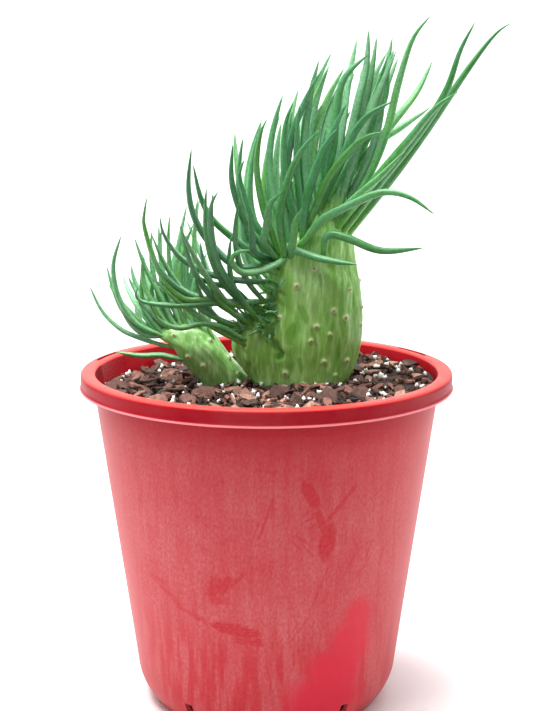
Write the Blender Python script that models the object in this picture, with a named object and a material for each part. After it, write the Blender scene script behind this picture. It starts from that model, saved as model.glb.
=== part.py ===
"""Crested chalk sticks in a red plastic nursery pot.

Metres, +Z up, the pot's axis on the Z axis and its foot on z = 0. The camera of the reference looks along +Y.
"""

import math
import random

import bmesh
import bpy
from mathutils import Vector

# Driving dimensions of the pot
RIM_RADIUS = 0.100
POT_HEIGHT = 0.183
FOOT_RADIUS = 0.0635
WALL = 0.0016
LATHE_STEPS = 40

# The pot's shape follows from those
BODY_TOP_RADIUS = 0.935 * RIM_RADIUS
SKIRT_HEIGHT = 0.0088
HEEL_HEIGHT = 0.015
HEEL_RADIUS = 0.700 * RIM_RADIUS
BEAD = 0.0004

# Slots for plant labels in the rim, and drain slots in the foot
LABEL_SLOT_ANGLES = (159.0, 29.5)
LABEL_SLOT_HALF_ANGLE = 8.0
LABEL_SLOT_WIDTH = 0.0020
DRAIN_SLOTS = 5
DRAIN_FIRST_ANGLE = 234.0
DRAIN_WIDTH = 0.0050
DRAIN_TOP = 0.0145

# Potting mix
GAP = 0.0003
WELD = 0.000001
MIX_DROP_LEFT = 0.0125
MIX_DROP_RIGHT = 0.0035
MIX_RINGS = 5
MIX_STEPS = 24
CHIP_COUNT = 62
PERLITE_COUNT = 22
CHIP_LENGTH = (0.007, 0.016)
PERLITE_SIZE = (0.0011, 0.0019)
MIX_SEED = 3

# Leaves
LEAF_RADIUS = 0.0021
LEAF_RADIUS_CHANGE = 0.0004
LEAF_SIDES = 4
LEAF_STEPS = 5
LONG_LEAF_STEPS = 8
ROOT_DEPTH = 0.006
MAIN_LEAVES = 54
MAIN_SEED = 3
CROWDING = 1.6
SIDE_LEAVES = 20
SIDE_SEED = 4

# Horizontal slices of each lobe: height, left edge, right edge, middle depth, half depth
COLUMN_LOBE = (
    (0.150, 0.004, 0.040, 0.000, 0.0125),
    (0.174, 0.000, 0.043, 0.000, 0.0140),
    (0.186, -0.003, 0.0480, 0.000, 0.0155),
    (0.200, -0.003, 0.0512, 0.000, 0.0165),
    (0.216, -0.001, 0.0518, 0.001, 0.0165),
    (0.230, 0.000, 0.0502, 0.001, 0.0160),
    (0.240, 0.002, 0.0475, 0.002, 0.0150),
    (0.250, 0.009, 0.0460, 0.002, 0.0140),
    (0.262, 0.019, 0.0450, 0.003, 0.0120),
    (0.274, 0.028, 0.0440, 0.003, 0.0095),
    (0.284, 0.035, 0.0430, 0.004, 0.0050),
)
MIDDLE_LOBE = (
    (0.150, -0.005, 0.020, 0.001, 0.0110),
    (0.174, -0.0075, 0.022, 0.001, 0.0125),
    (0.182, -0.0120, 0.022, 0.001, 0.0135),
    (0.192, -0.0180, 0.022, 0.000, 0.0140),
    (0.202, -0.0180, 0.020, 0.000, 0.0135),
    (0.210, -0.0140, 0.014, 0.000, 0.0120),
    (0.218, -0.0070, 0.006, 0.001, 0.0070),
)
SIDE_LOBE = (
    (0.152, -0.034, -0.0125, 0.008, 0.0085),
    (0.175, -0.036, -0.0095, 0.008, 0.0100),
    (0.181, -0.042, -0.0135, 0.008, 0.0110),
    (0.188, -0.0475, -0.0195, 0.008, 0.0115),
    (0.194, -0.052, -0.0235, 0.008, 0.0110),
    (0.199, -0.060, -0.0270, 0.009, 0.0095),
    (0.203, -0.059, -0.0310, 0.009, 0.0070),
    (0.206, -0.052, -0.0370, 0.010, 0.0030),
)
SLICE_POINTS = 20

# Leaves that stand out from the rest, each from its root to its tip
MAIN_LONG_LEAVES = {
    "far_right": (
        (0.041, -0.002, 0.252), (0.044, -0.004, 0.257), (0.064, -0.003, 0.283), (0.084, -0.002, 0.311),
        (0.104, -0.001, 0.341), (0.118, 0.001, 0.359), (0.128, 0.002, 0.366),
    ),
    "right_sweep": (
        (0.039, -0.005, 0.255), (0.042, -0.008, 0.260), (0.060, -0.009, 0.285), (0.078, -0.009, 0.308),
        (0.092, -0.010, 0.330), (0.099, -0.011, 0.351), (0.107, -0.012, 0.367),
    ),
    "right_twin": (
        (0.037, -0.006, 0.259), (0.040, -0.010, 0.264), (0.056, -0.012, 0.285), (0.074, -0.014, 0.307),
        (0.086, -0.017, 0.322), (0.098, -0.020, 0.331),
    ),
    "right_thin": (
        (0.033, -0.006, 0.265), (0.039, -0.012, 0.270), (0.050, -0.015, 0.280), (0.059, -0.018, 0.288),
        (0.071, -0.022, 0.301),
    ),
    "tall_right": (
        (0.039, -0.004, 0.265), (0.041, -0.005, 0.268), (0.053, -0.005, 0.286), (0.062, -0.006, 0.309),
        (0.068, -0.007, 0.335), (0.075, -0.007, 0.357), (0.085, -0.008, 0.370),
    ),
    "lime_upper": (
        (0.042, 0.003, 0.282), (0.057, 0.006, 0.302), (0.070, 0.007, 0.318), (0.080, 0.010, 0.331),
        (0.088, 0.012, 0.347),
    ),
    "lime_level": (
        (0.042, 0.004, 0.274), (0.045, 0.006, 0.278), (0.057, 0.009, 0.301), (0.071, 0.012, 0.311),
        (0.088, 0.016, 0.322),
    ),
    "pale_spire": (
        (0.035, 0.001, 0.281), (0.043, 0.001, 0.304), (0.048, 0.001, 0.326), (0.052, 0.002, 0.344),
        (0.053, 0.002, 0.363),
    ),
    "dark_spire": (
        (0.040, 0.003, 0.284), (0.054, 0.005, 0.308), (0.062, 0.006, 0.328), (0.063, 0.007, 0.342),
        (0.066, 0.008, 0.359),
    ),
    "broad_lean": (
        (0.030, -0.003, 0.271), (0.032, -0.004, 0.274), (0.043, -0.004, 0.293), (0.051, -0.005, 0.311),
        (0.057, -0.005, 0.332), (0.063, -0.006, 0.350),
    ),
    "hooked_top": (
        (0.030, 0.003, 0.274), (0.027, -0.004, 0.279), (0.034, -0.005, 0.299), (0.036, -0.006, 0.319),
        (0.040, -0.007, 0.337), (0.053, -0.008, 0.350),
    ),
    "crossing": (
        (0.020, -0.003, 0.258), (0.024, -0.011, 0.267), (0.032, -0.015, 0.286), (0.043, -0.019, 0.301),
        (0.051, -0.024, 0.308), (0.060, -0.031, 0.311),
    ),
    "back_crossing": (
        (0.027, -0.003, 0.267), (0.030, -0.008, 0.276), (0.038, -0.010, 0.293), (0.045, -0.011, 0.309),
        (0.053, -0.014, 0.319), (0.065, -0.016, 0.326),
    ),
    "hooked_right": (
        (0.015, -0.006, 0.248), (0.020, -0.012, 0.254), (0.029, -0.015, 0.265), (0.043, -0.020, 0.273),
        (0.059, -0.025, 0.280), (0.073, -0.030, 0.278), (0.086, -0.036, 0.269),
    ),
    "bent_right": (
        (0.030, -0.009, 0.242), (0.030, -0.014, 0.247), (0.032, -0.017, 0.257), (0.042, -0.021, 0.256),
        (0.059, -0.025, 0.250), (0.081, -0.030, 0.252),
    ),
    "pale_across": (
        (0.014, -0.001, 0.250), (0.012, -0.013, 0.250), (0.024, -0.016, 0.246), (0.035, -0.021, 0.244),
        (0.047, -0.027, 0.243),
    ),
    "inner_broad": (
        (0.019, -0.006, 0.252), (0.019, -0.010, 0.257), (0.020, -0.012, 0.272), (0.025, -0.014, 0.290),
        (0.030, -0.017, 0.303), (0.036, -0.020, 0.312),
    ),
    "inner_long": (
        (0.010, -0.005, 0.242), (0.009, -0.012, 0.250), (0.007, -0.015, 0.268), (0.012, -0.018, 0.288),
        (0.018, -0.022, 0.301), (0.027, -0.026, 0.312),
    ),
    "young_tip": (
        (0.008, 0.001, 0.241), (-0.001, -0.016, 0.252), (0.000, -0.020, 0.262), (0.002, -0.025, 0.274),
        (0.008, -0.031, 0.281),
    ),
    "young_short": (
        (0.008, 0.001, 0.240), (-0.006, -0.016, 0.248), (-0.007, -0.020, 0.255), (-0.008, -0.025, 0.263),
        (-0.009, -0.031, 0.272),
    ),
    "bud_leaf": (
        (0.013, -0.007, 0.242), (0.013, -0.014, 0.249), (0.014, -0.017, 0.256), (0.015, -0.021, 0.264),
        (0.018, -0.027, 0.272),
    ),
    "upright_dark": (
        (0.008, -0.001, 0.241), (0.004, -0.010, 0.254), (-0.002, -0.012, 0.272), (-0.005, -0.013, 0.292),
        (-0.003, -0.016, 0.309), (0.001, -0.018, 0.318),
    ),
    "upright_pair": (
        (0.017, -0.001, 0.255), (0.014, -0.006, 0.267), (0.010, -0.007, 0.284), (0.009, -0.008, 0.299),
        (0.010, -0.009, 0.314), (0.014, -0.010, 0.326),
    ),
    "upright_thin": (
        (0.019, 0.000, 0.258), (0.018, -0.004, 0.272), (0.016, -0.004, 0.292), (0.016, -0.004, 0.309),
        (0.017, -0.004, 0.324),
    ),
    "left_fork": (
        (0.008, -0.002, 0.240), (0.001, -0.014, 0.249), (-0.009, -0.016, 0.260), (-0.015, -0.018, 0.274),
        (-0.018, -0.021, 0.288), (-0.017, -0.024, 0.306),
    ),
    "left_fork_low": (
        (0.007, 0.000, 0.240), (-0.001, -0.010, 0.255), (-0.008, -0.011, 0.267), (-0.012, -0.012, 0.279),
        (-0.014, -0.013, 0.288), (-0.011, -0.014, 0.297),
    ),
    "left_arch": (
        (0.008, -0.001, 0.240), (-0.004, -0.012, 0.240), (-0.017, -0.014, 0.241), (-0.031, -0.016, 0.255),
        (-0.038, -0.019, 0.269), (-0.040, -0.021, 0.284), (-0.038, -0.024, 0.304),
    ),
    "left_arch_low": (
        (-0.004, -0.009, 0.210), (-0.007, -0.014, 0.215), (-0.016, -0.017, 0.227), (-0.025, -0.021, 0.243),
        (-0.029, -0.026, 0.261), (-0.028, -0.031, 0.274), (-0.024, -0.037, 0.282),
    ),
    "left_cross": (
        (0.007, -0.001, 0.236), (-0.003, -0.010, 0.244), (-0.016, -0.012, 0.254), (-0.028, -0.013, 0.265),
        (-0.034, -0.016, 0.277), (-0.038, -0.018, 0.295),
    ),
    "left_long": (
        (0.006, -0.001, 0.231), (-0.006, -0.012, 0.232), (-0.020, -0.014, 0.234), (-0.033, -0.016, 0.238),
        (-0.045, -0.019, 0.246), (-0.053, -0.021, 0.258), (-0.055, -0.024, 0.269),
    ),
    "left_tip": (
        (-0.004, -0.004, 0.216), (-0.013, -0.013, 0.219), (-0.028, -0.014, 0.223), (-0.044, -0.015, 0.224),
        (-0.056, -0.016, 0.238), (-0.063, -0.017, 0.260), (-0.063, -0.019, 0.269), (-0.061, -0.020, 0.279),
    ),
    "left_low": (
        (0.005, 0.000, 0.220), (-0.011, -0.011, 0.221), (-0.028, -0.013, 0.222), (-0.041, -0.014, 0.226),
        (-0.052, -0.017, 0.235), (-0.061, -0.019, 0.249),
    ),
    "level_left": (
        (0.006, -0.001, 0.221), (-0.007, -0.012, 0.221), (-0.028, -0.014, 0.221), (-0.047, -0.016, 0.220),
        (-0.063, -0.019, 0.222), (-0.068, -0.021, 0.226), (-0.066, -0.025, 0.232),
    ),
    "wavy": (
        (-0.009, -0.008, 0.199), (-0.013, -0.012, 0.202), (-0.023, -0.013, 0.208), (-0.034, -0.014, 0.210),
        (-0.046, -0.016, 0.208), (-0.057, -0.017, 0.213), (-0.063, -0.019, 0.226),
    ),
    "curled": (
        (0.013, -0.005, 0.245), (0.004, -0.014, 0.241), (-0.004, -0.016, 0.238), (-0.013, -0.019, 0.238),
        (-0.018, -0.022, 0.244), (-0.015, -0.025, 0.249), (-0.008, -0.029, 0.251),
    ),
    "lower_pair": (
        (-0.005, -0.009, 0.208), (-0.009, -0.012, 0.210), (-0.017, -0.014, 0.215), (-0.025, -0.016, 0.223),
        (-0.028, -0.019, 0.232), (-0.036, -0.022, 0.239),
    ),
    "low_cross": (
        (-0.003, -0.006, 0.214), (-0.007, -0.010, 0.218), (-0.016, -0.011, 0.227), (-0.023, -0.012, 0.230),
        (-0.031, -0.013, 0.232), (-0.039, -0.014, 0.237),
    ),
}
SIDE_LONG_LEAVES = {
    "side_low": (
        (-0.047, 0.008, 0.192), (-0.059, 0.008, 0.195), (-0.068, 0.008, 0.198), (-0.079, 0.008, 0.203),
        (-0.089, 0.008, 0.213), (-0.096, 0.008, 0.228),
    ),
    "side_arch": (
        (-0.054, 0.005, 0.199), (-0.058, 0.004, 0.201), (-0.070, 0.004, 0.207), (-0.079, 0.004, 0.220),
        (-0.082, 0.004, 0.238), (-0.077, 0.004, 0.256),
    ),
    "side_twin": (
        (-0.056, 0.009, 0.199), (-0.065, 0.010, 0.200), (-0.077, 0.011, 0.211), (-0.083, 0.012, 0.224),
        (-0.087, 0.014, 0.238),
    ),
    "side_dark": (
        (-0.050, 0.006, 0.204), (-0.057, 0.006, 0.221), (-0.065, 0.006, 0.237), (-0.071, 0.006, 0.254),
    ),
    "side_broad": (
        (-0.052, 0.005, 0.203), (-0.061, 0.003, 0.218), (-0.066, 0.003, 0.230), (-0.066, 0.002, 0.245),
    ),
    "side_short": (
        (-0.056, 0.009, 0.202), (-0.059, 0.009, 0.207), (-0.067, 0.009, 0.218), (-0.072, 0.010, 0.226),
        (-0.075, 0.010, 0.232),
    ),
    "side_short_twin": (
        (-0.054, 0.010, 0.204), (-0.058, 0.012, 0.209), (-0.065, 0.013, 0.218), (-0.071, 0.014, 0.227),
        (-0.074, 0.016, 0.238),
    ),
    "side_pale": (
        (-0.049, 0.010, 0.201), (-0.050, 0.013, 0.225), (-0.048, 0.016, 0.246), (-0.043, 0.020, 0.270),
    ),
    "side_pale_lean": (
        (-0.032, 0.013, 0.198), (-0.031, 0.017, 0.228), (-0.037, 0.021, 0.245), (-0.044, 0.026, 0.261),
    ),
    "side_olive": (
        (-0.042, 0.006, 0.203), (-0.043, 0.007, 0.224), (-0.043, 0.008, 0.243), (-0.043, 0.010, 0.255),
    ),
    "side_back_tall": (
        (-0.040, 0.010, 0.202), (-0.042, 0.013, 0.220), (-0.040, 0.017, 0.236), (-0.038, 0.023, 0.248),
    ),
    "side_mid": (
        (-0.045, 0.006, 0.202), (-0.053, 0.008, 0.224), (-0.057, 0.010, 0.241), (-0.058, 0.012, 0.260),
    ),
    "droop": (
        (-0.042, 0.004, 0.187), (-0.047, 0.001, 0.188), (-0.057, 0.001, 0.190), (-0.068, 0.000, 0.190),
        (-0.082, 0.000, 0.192),
    ),
}

# Stations along a crest: leaf root (x, z), angle at which the leaf sets out, and its furthest tip (x, z)
MAIN_FAN = (
    ((0.041, 0.272), 76, (0.064, 0.350)),
    ((0.036, 0.276), 90, (0.055, 0.358)),
    ((0.030, 0.268), 104, (0.042, 0.348)),
    ((0.024, 0.259), 116, (0.030, 0.350)),
    ((0.018, 0.251), 124, (0.016, 0.329)),
    ((0.011, 0.243), 130, (0.005, 0.322)),
    ((0.004, 0.236), 136, (-0.008, 0.313)),
    ((-0.002, 0.226), 142, (-0.017, 0.292)),
    ((-0.007, 0.215), 148, (-0.034, 0.284)),
    ((-0.012, 0.209), 156, (-0.050, 0.262)),
    ((-0.016, 0.200), 172, (-0.072, 0.240)),
)
SIDE_FAN = (
    ((-0.030, 0.202), 118, (-0.030, 0.274)),
    ((-0.037, 0.204), 126, (-0.044, 0.276)),
    ((-0.044, 0.204), 138, (-0.058, 0.268)),
    ((-0.051, 0.203), 150, (-0.070, 0.246)),
    ((-0.057, 0.201), 160, (-0.078, 0.232)),
    ((-0.060, 0.199), 172, (-0.080, 0.222)),
)


def clear_scene():
    for obj in list(bpy.data.objects):
        bpy.data.objects.remove(obj, do_unlink=True)


def material(name, colour, roughness):
    made = bpy.data.materials.new(name)
    made.use_nodes = True
    shader = made.node_tree.nodes["Principled BSDF"]
    shader.inputs["Base Color"].default_value = (*colour, 1.0)
    shader.inputs["Roughness"].default_value = roughness
    shader.inputs["Metallic"].default_value = 0.0
    return made


def object_from(bm, name, collection=None):
    """Turns a bmesh into a named object of flat triangles with outward normals."""
    bmesh.ops.triangulate(bm, faces=bm.faces)
    bmesh.ops.recalc_face_normals(bm, faces=bm.faces)
    mesh = bpy.data.meshes.new(name)
    bm.to_mesh(mesh)
    bm.free()
    obj = bpy.data.objects.new(name, mesh)
    (collection or bpy.context.scene.collection).objects.link(obj)
    return obj


def rings_to_bmesh(rings):
    """Skins closed rings of points, each with as many points, and caps both ends."""
    bm = bmesh.new()
    rows = [[bm.verts.new(point) for point in ring] for ring in rings]
    for low, high in zip(rows, rows[1:]):
        for i in range(len(low)):
            j = (i + 1) % len(low)
            bm.faces.new((low[i], low[j], high[j], high[i]))
    bm.faces.new(rows[0])
    bm.faces.new(rows[-1])
    return bm


def polar(radius, degrees, z):
    angle = math.radians(degrees)
    return Vector((radius * math.cos(angle), radius * math.sin(angle), z))


def apply_boolean(obj, operation, solver, target=None, collection=None):
    """Applies one Boolean with an object or with all the objects of a collection."""
    modifier = obj.modifiers.new(operation.title(), "BOOLEAN")
    modifier.operation = operation
    modifier.solver = solver
    if collection:
        modifier.operand_type = "COLLECTION"
        modifier.collection = collection
    else:
        modifier.object = target
    graph = bpy.context.evaluated_depsgraph_get()
    mesh = bpy.data.meshes.new_from_object(obj.evaluated_get(graph))
    obj.modifiers.remove(modifier)
    obj.data = mesh


def discard(objects):
    for obj in list(objects):
        bpy.data.objects.remove(obj, do_unlink=True)


def keep_outer_shell(obj):
    """Drops loose scraps and fills sealed hollows: only the shell with the most faces stays."""
    bm = bmesh.new()
    bm.from_mesh(obj.data)
    bmesh.ops.remove_doubles(bm, verts=bm.verts, dist=WELD)
    left = set(bm.faces)
    shells = []
    while left:
        front = [left.pop()]
        shell = set(front)
        while front:
            face = front.pop()
            for edge in face.edges:
                for other in edge.link_faces:
                    if other in left:
                        left.discard(other)
                        shell.add(other)
                        front.append(other)
        shells.append(shell)
    shells.sort(key=len)
    for shell in shells[:-1]:
        bmesh.ops.delete(bm, geom=list(shell), context="FACES")
    bmesh.ops.triangulate(bm, faces=bm.faces)
    bmesh.ops.recalc_face_normals(bm, faces=bm.faces)
    bm.to_mesh(obj.data)
    bm.free()


# Nursery pot


def pot_profile():
    """Closed half section of the pot, from the axis under the floor round to the axis inside it."""
    outside = [(0.0, 0.0), (FOOT_RADIUS - 0.0035, 0.0)]
    for degrees in (30, 60, 90):
        turn = math.radians(degrees)
        outside.append((FOOT_RADIUS - 0.0035 * (1 - math.sin(turn)), 0.0035 * (1 - math.cos(turn))))
    outside.append((HEEL_RADIUS - 0.0022, HEEL_HEIGHT - 0.0045))
    outside.append((HEEL_RADIUS, HEEL_HEIGHT))
    outside.append((HEEL_RADIUS + 0.0014, HEEL_HEIGHT + 0.0065))
    rim_root = POT_HEIGHT - 2 * WALL
    skirt_foot = POT_HEIGHT - SKIRT_HEIGHT
    rim = [
        (BODY_TOP_RADIUS, rim_root),
        (RIM_RADIUS - WALL - 0.0004, rim_root + 0.0004),
        (RIM_RADIUS - WALL, rim_root - 0.0004),
        (RIM_RADIUS - WALL + 0.0004, skirt_foot),
        (RIM_RADIUS + BEAD - 0.0001, skirt_foot),
        (RIM_RADIUS + BEAD, skirt_foot + 0.0006),
        (RIM_RADIUS, skirt_foot + 0.0014),
        (RIM_RADIUS - 0.0002, POT_HEIGHT - 0.0012),
        (RIM_RADIUS - 0.0012, POT_HEIGHT),
        (BODY_TOP_RADIUS - 0.0006, POT_HEIGHT),
        (BODY_TOP_RADIUS - WALL, POT_HEIGHT - 0.0009),
    ]
    inside = [
        (HEEL_RADIUS - WALL + 0.0014, HEEL_HEIGHT + 0.0065),
        (HEEL_RADIUS - WALL, HEEL_HEIGHT),
        (FOOT_RADIUS - WALL - 0.0005, 0.0045),
        (FOOT_RADIUS - WALL - 0.0035, 2 * WALL),
        (0.0, 2 * WALL),
    ]
    return outside + rim + inside


def lathe(name, profile):
    """Spins a half section about Z into a closed solid."""
    bm = bmesh.new()
    verts = [bm.verts.new((radius, 0.0, z)) for radius, z in profile]
    edges = [bm.edges.new(pair) for pair in zip(verts, verts[1:])]
    bmesh.ops.spin(
        bm,
        geom=verts + edges,
        axis=(0, 0, 1),
        cent=(0, 0, 0),
        angle=math.tau,
        steps=LATHE_STEPS,
        use_merge=True,
    )
    bmesh.ops.remove_doubles(bm, verts=bm.verts, dist=1e-6)
    return object_from(bm, name)


def ring_sector(name, inner, outer, low, high, middle, half_angle, collection):
    """A curved bar about Z, for cutting a slot."""
    rings = []
    for i in range(7):
        degrees = middle + half_angle * (i / 3 - 1)
        corners = ((inner, low), (outer, low), (outer, high), (inner, high))
        rings.append([polar(radius, degrees, z) for radius, z in corners])
    return object_from(rings_to_bmesh(rings), name, collection)


def make_pot():
    pot = lathe("nursery_pot", pot_profile())
    cutters = bpy.data.collections.new("pot_cutters")
    bpy.context.scene.collection.children.link(cutters)
    slot_radius = (RIM_RADIUS + BODY_TOP_RADIUS) / 2 - 0.0006
    for angle in LABEL_SLOT_ANGLES:
        ring_sector(
            "label_slot",
            slot_radius - LABEL_SLOT_WIDTH / 2,
            slot_radius + LABEL_SLOT_WIDTH / 2,
            POT_HEIGHT - 0.006,
            POT_HEIGHT + 0.002,
            angle,
            LABEL_SLOT_HALF_ANGLE,
            cutters,
        )
    half_angle = math.degrees(DRAIN_WIDTH / 2 / HEEL_RADIUS)
    for i in range(DRAIN_SLOTS):
        angle = DRAIN_FIRST_ANGLE + i * 360 / DRAIN_SLOTS
        ring_sector(
            "drain_slot",
            FOOT_RADIUS - 0.008,
            HEEL_RADIUS + 0.004,
            -0.002,
            DRAIN_TOP,
            angle,
            half_angle,
            cutters,
        )
    apply_boolean(pot, "DIFFERENCE", "EXACT", collection=cutters)
    discard(cutters.objects)
    bpy.data.collections.remove(cutters)
    keep_outer_shell(pot)
    pot.data.materials.append(material("red_pot_plastic", (0.62, 0.06, 0.07), 0.45))
    return pot


# Stems


def slice_ring(height, left, right, middle, half_depth, points, grow=0.0):
    """A flattened round slice through a lobe."""
    half_width = (right - left) / 2 + grow
    half_depth += grow
    centre = (left + right) / 2
    ring = []
    for i in range(points):
        angle = math.tau * i / points
        c, s = math.cos(angle), math.sin(angle)
        ring.append(
            (
                centre + half_width * math.copysign(abs(c) ** 0.85, c),
                middle + half_depth * math.copysign(abs(s) ** 0.85, s),
                height,
            )
        )
    return ring


def make_lobe(name, slices, collection=None, grow=0.0):
    rings = [slice_ring(*values, SLICE_POINTS, grow) for values in slices]
    if grow:
        rings.insert(0, [(x, y, z - grow) for x, y, z in rings[0]])
    return object_from(rings_to_bmesh(rings), name, collection)


# Leaves


def along(stations, place):
    """Root, setting-out angle and tip at a place from 0 to 1 along a crest."""
    at = place * (len(stations) - 1)
    i = min(int(at), len(stations) - 2)
    mix = at - i
    low, high = stations[i], stations[i + 1]
    root = [a + (b - a) * mix for a, b in zip(low[0], high[0])]
    angle = low[1] + (high[1] - low[1]) * mix
    tip = [a + (b - a) * mix for a, b in zip(low[2], high[2])]
    return root, angle, tip


def leaf_bend(root, start, tip, steps):
    """Points from the sunk root, along the setting-out direction, and round to the tip."""
    elbow = root + start * (tip - root).length * 0.48
    points = [root - start * ROOT_DEPTH]
    for i in range(steps):
        t = i / (steps - 1)
        points.append(root * (1 - t) ** 2 + elbow * 2 * t * (1 - t) + tip * t * t)
    return points


def smooth_path(points, steps):
    """A Catmull-Rom line through points."""
    ends = [points[0] * 2 - points[1], *points, points[-1] * 2 - points[-2]]
    spans = len(points) - 1
    path = []
    for i in range(steps + 1):
        at = i / steps * spans
        k = min(int(at), spans - 1)
        t = at - k
        a, b, c, d = ends[k : k + 4]
        path.append(
            (b * 2 + (c - a) * t + (a * 2 - b * 5 + c * 4 - d) * t * t + (b * 3 - a - c * 3 + d) * t**3) / 2
        )
    return path


def leaf_width(t):
    """Share of the full radius at a place from the root to the tip."""
    return min(1.0, 0.66 + 1.1 * t) * max(0.0, 1 - t**4.4) ** 0.85


def leaf_radius(root):
    """The leaves are stouter towards the right of the plant."""
    return LEAF_RADIUS + LEAF_RADIUS_CHANGE * max(-1.0, min(1.0, root.x / 0.03))


def leaf_tube(name, path, radius, collection):
    """A finger-like leaf: round, narrower at the root, drawn to a point."""
    rings = []
    across = Vector((0, 1, 0))
    for i, point in enumerate(path[:-1]):
        forward = (path[i + 1] - path[max(i - 1, 0)]).normalized()
        side = forward.cross(across).normalized()
        up = side.cross(forward)
        wide = radius * max(leaf_width(i / (len(path) - 1)), 0.16)
        rings.append(
            [
                point + (side * math.cos(turn) + up * math.sin(turn)) * wide
                for turn in (math.tau * j / LEAF_SIDES for j in range(LEAF_SIDES))
            ]
        )
    bm = rings_to_bmesh(rings)
    bm.verts.ensure_lookup_table()
    last = bm.verts[-LEAF_SIDES:]
    cap = next(face for face in bm.faces if set(face.verts) == set(last))
    bmesh.ops.poke(bm, faces=[cap])
    bm.verts.ensure_lookup_table()
    bm.verts[-1].co = path[-1]
    return object_from(bm, name, collection)


def crest_leaf(rng, stations, place, root_depth, tip_depth, reach):
    """One leaf of a crest's rule: root, direction and tip read off the stations, each a little varied."""
    root, angle, tip = along(stations, place)
    base = Vector((root[0], root_depth, root[1]))
    end = Vector((tip[0], tip_depth, tip[1]))
    end = base + (end - base) * reach
    end.x += rng.uniform(-0.007, 0.007)
    turn = math.radians(angle + rng.uniform(-24, 16))
    lean = (tip_depth - root_depth) / 0.05
    start = Vector((math.cos(turn), 0.5 * lean, math.sin(turn))).normalized()
    return leaf_bend(base, start, end, LEAF_STEPS)


def main_leaf_paths():
    """The main crest's leaves in rows along the fan. Only front ones pass the side crest."""
    rng = random.Random(MAIN_SEED)
    paths = []
    for i in range(MAIN_LEAVES):
        place = ((i + rng.random()) / MAIN_LEAVES) ** CROWDING
        if place > 0.72:
            depths = rng.uniform(-0.011, -0.008), rng.uniform(-0.038, -0.014)
        elif i % 3 == 0:
            depths = rng.uniform(-0.006, 0.003), rng.uniform(-0.012, 0.010)
        else:
            depths = rng.uniform(0.004, 0.010), rng.uniform(0.012, 0.036)
        reach = 1.03 - 0.5 * rng.random() ** 1.6
        paths.append(crest_leaf(rng, MAIN_FAN, place, *depths, reach))
    for points in MAIN_LONG_LEAVES.values():
        paths.append(smooth_path([Vector(point) for point in points], LONG_LEAF_STEPS))
    return paths


def side_leaf_paths():
    """The side crest's leaves, all behind the plane in which the main crest's left leaves lie."""
    rng = random.Random(SIDE_SEED)
    paths = []
    for i in range(SIDE_LEAVES):
        place = (i + rng.random()) / SIDE_LEAVES
        depths = rng.uniform(0.004, 0.013), rng.uniform(0.003, 0.038)
        reach = 1.03 - 0.5 * rng.random() ** 1.6
        paths.append(crest_leaf(rng, SIDE_FAN, place, *depths, reach))
    for points in SIDE_LONG_LEAVES.values():
        paths.append(smooth_path([Vector(point) for point in points], LONG_LEAF_STEPS))
    return paths


def make_crest(name, lobes, paths, colour):
    """A crested stem: its lobes and leaves joined into one growth."""
    stem = make_lobe(name, lobes[0])
    growth = bpy.data.collections.new(name + "_growth")
    bpy.context.scene.collection.children.link(growth)
    for slices in lobes[1:]:
        make_lobe(name + "_lobe", slices, growth)
    for path in paths:
        leaf_tube(name + "_leaf", path, leaf_radius(path[0]), growth)
    apply_boolean(stem, "UNION", "MANIFOLD", collection=growth)
    discard(growth.objects)
    bpy.data.collections.remove(growth)
    keep_outer_shell(stem)
    stem.data.materials.append(material(name + "_green", colour, 0.55))
    return stem


# Potting mix


def wall_radius(z):
    """Radius of the pot's inner wall at a height."""
    low = HEEL_HEIGHT + 0.0065
    if z >= low:
        share = (z - low) / (POT_HEIGHT - 0.0009 - low)
        start = HEEL_RADIUS - WALL + 0.0014
        return start + (BODY_TOP_RADIUS - WALL - start) * share
    if z >= HEEL_HEIGHT:
        return HEEL_RADIUS - WALL
    return FOOT_RADIUS - WALL - 0.0005


def mix_level(x, y):
    """Height of the surface under the chips, which slopes up from the left wall to the right one."""
    share = (x / RIM_RADIUS + 1) / 2
    drop = MIX_DROP_LEFT + (MIX_DROP_RIGHT - MIX_DROP_LEFT) * share
    waves = math.sin(95 * x + 0.7) * math.cos(83 * y - 0.4)
    return POT_HEIGHT - drop + 0.0008 * waves


def mix_body():
    """The filled inside of the pot, 0.3 mm clear of its wall and floor."""
    clear = 1.3 * GAP
    floor = 2 * WALL + GAP
    rings = []
    for radius, z in (
        (FOOT_RADIUS - WALL - 0.0042, floor),
        (FOOT_RADIUS - WALL - 0.0012, 0.0050),
        (HEEL_RADIUS - WALL - clear, HEEL_HEIGHT + 0.0003),
        (wall_radius(HEEL_HEIGHT + 0.0065) - clear, HEEL_HEIGHT + 0.0065),
    ):
        rings.append([polar(radius, 360 * j / MIX_STEPS, z) for j in range(MIX_STEPS)])
    for k in range(MIX_RINGS):
        ring = []
        for j in range(MIX_STEPS):
            degrees = 360 * j / MIX_STEPS
            edge = polar(wall_radius(0.175) - clear, degrees, 0.0)
            level = mix_level(edge.x, edge.y)
            radius = (wall_radius(level) - clear) * (1 - k / MIX_RINGS)
            point = polar(radius, degrees, 0.0)
            point.z = mix_level(point.x, point.y)
            ring.append(point)
        rings.append(ring)
    return object_from(rings_to_bmesh(rings), "potting_mix")


def keep_inside(points, top):
    """Moves a grain toward the axis until the wall is clear of it."""
    reach = max(math.hypot(point.x, point.y) for point in points)
    room = wall_radius(top - 0.006) - 3 * GAP
    if reach > room:
        middle = sum(points, Vector()) / len(points)
        back = Vector((middle.x, middle.y, 0)).normalized() * (reach - room)
        points = [point - back for point in points]
    return points


def scatter(rng, count, i):
    """An even spread of places over the surface, each a little off."""
    radius = 0.090 * math.sqrt((i + 0.5) / count)
    degrees = 137.508 * i + rng.uniform(-14, 14)
    place = polar(radius, degrees, 0.0)
    place.z = mix_level(place.x, place.y)
    return place


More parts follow.
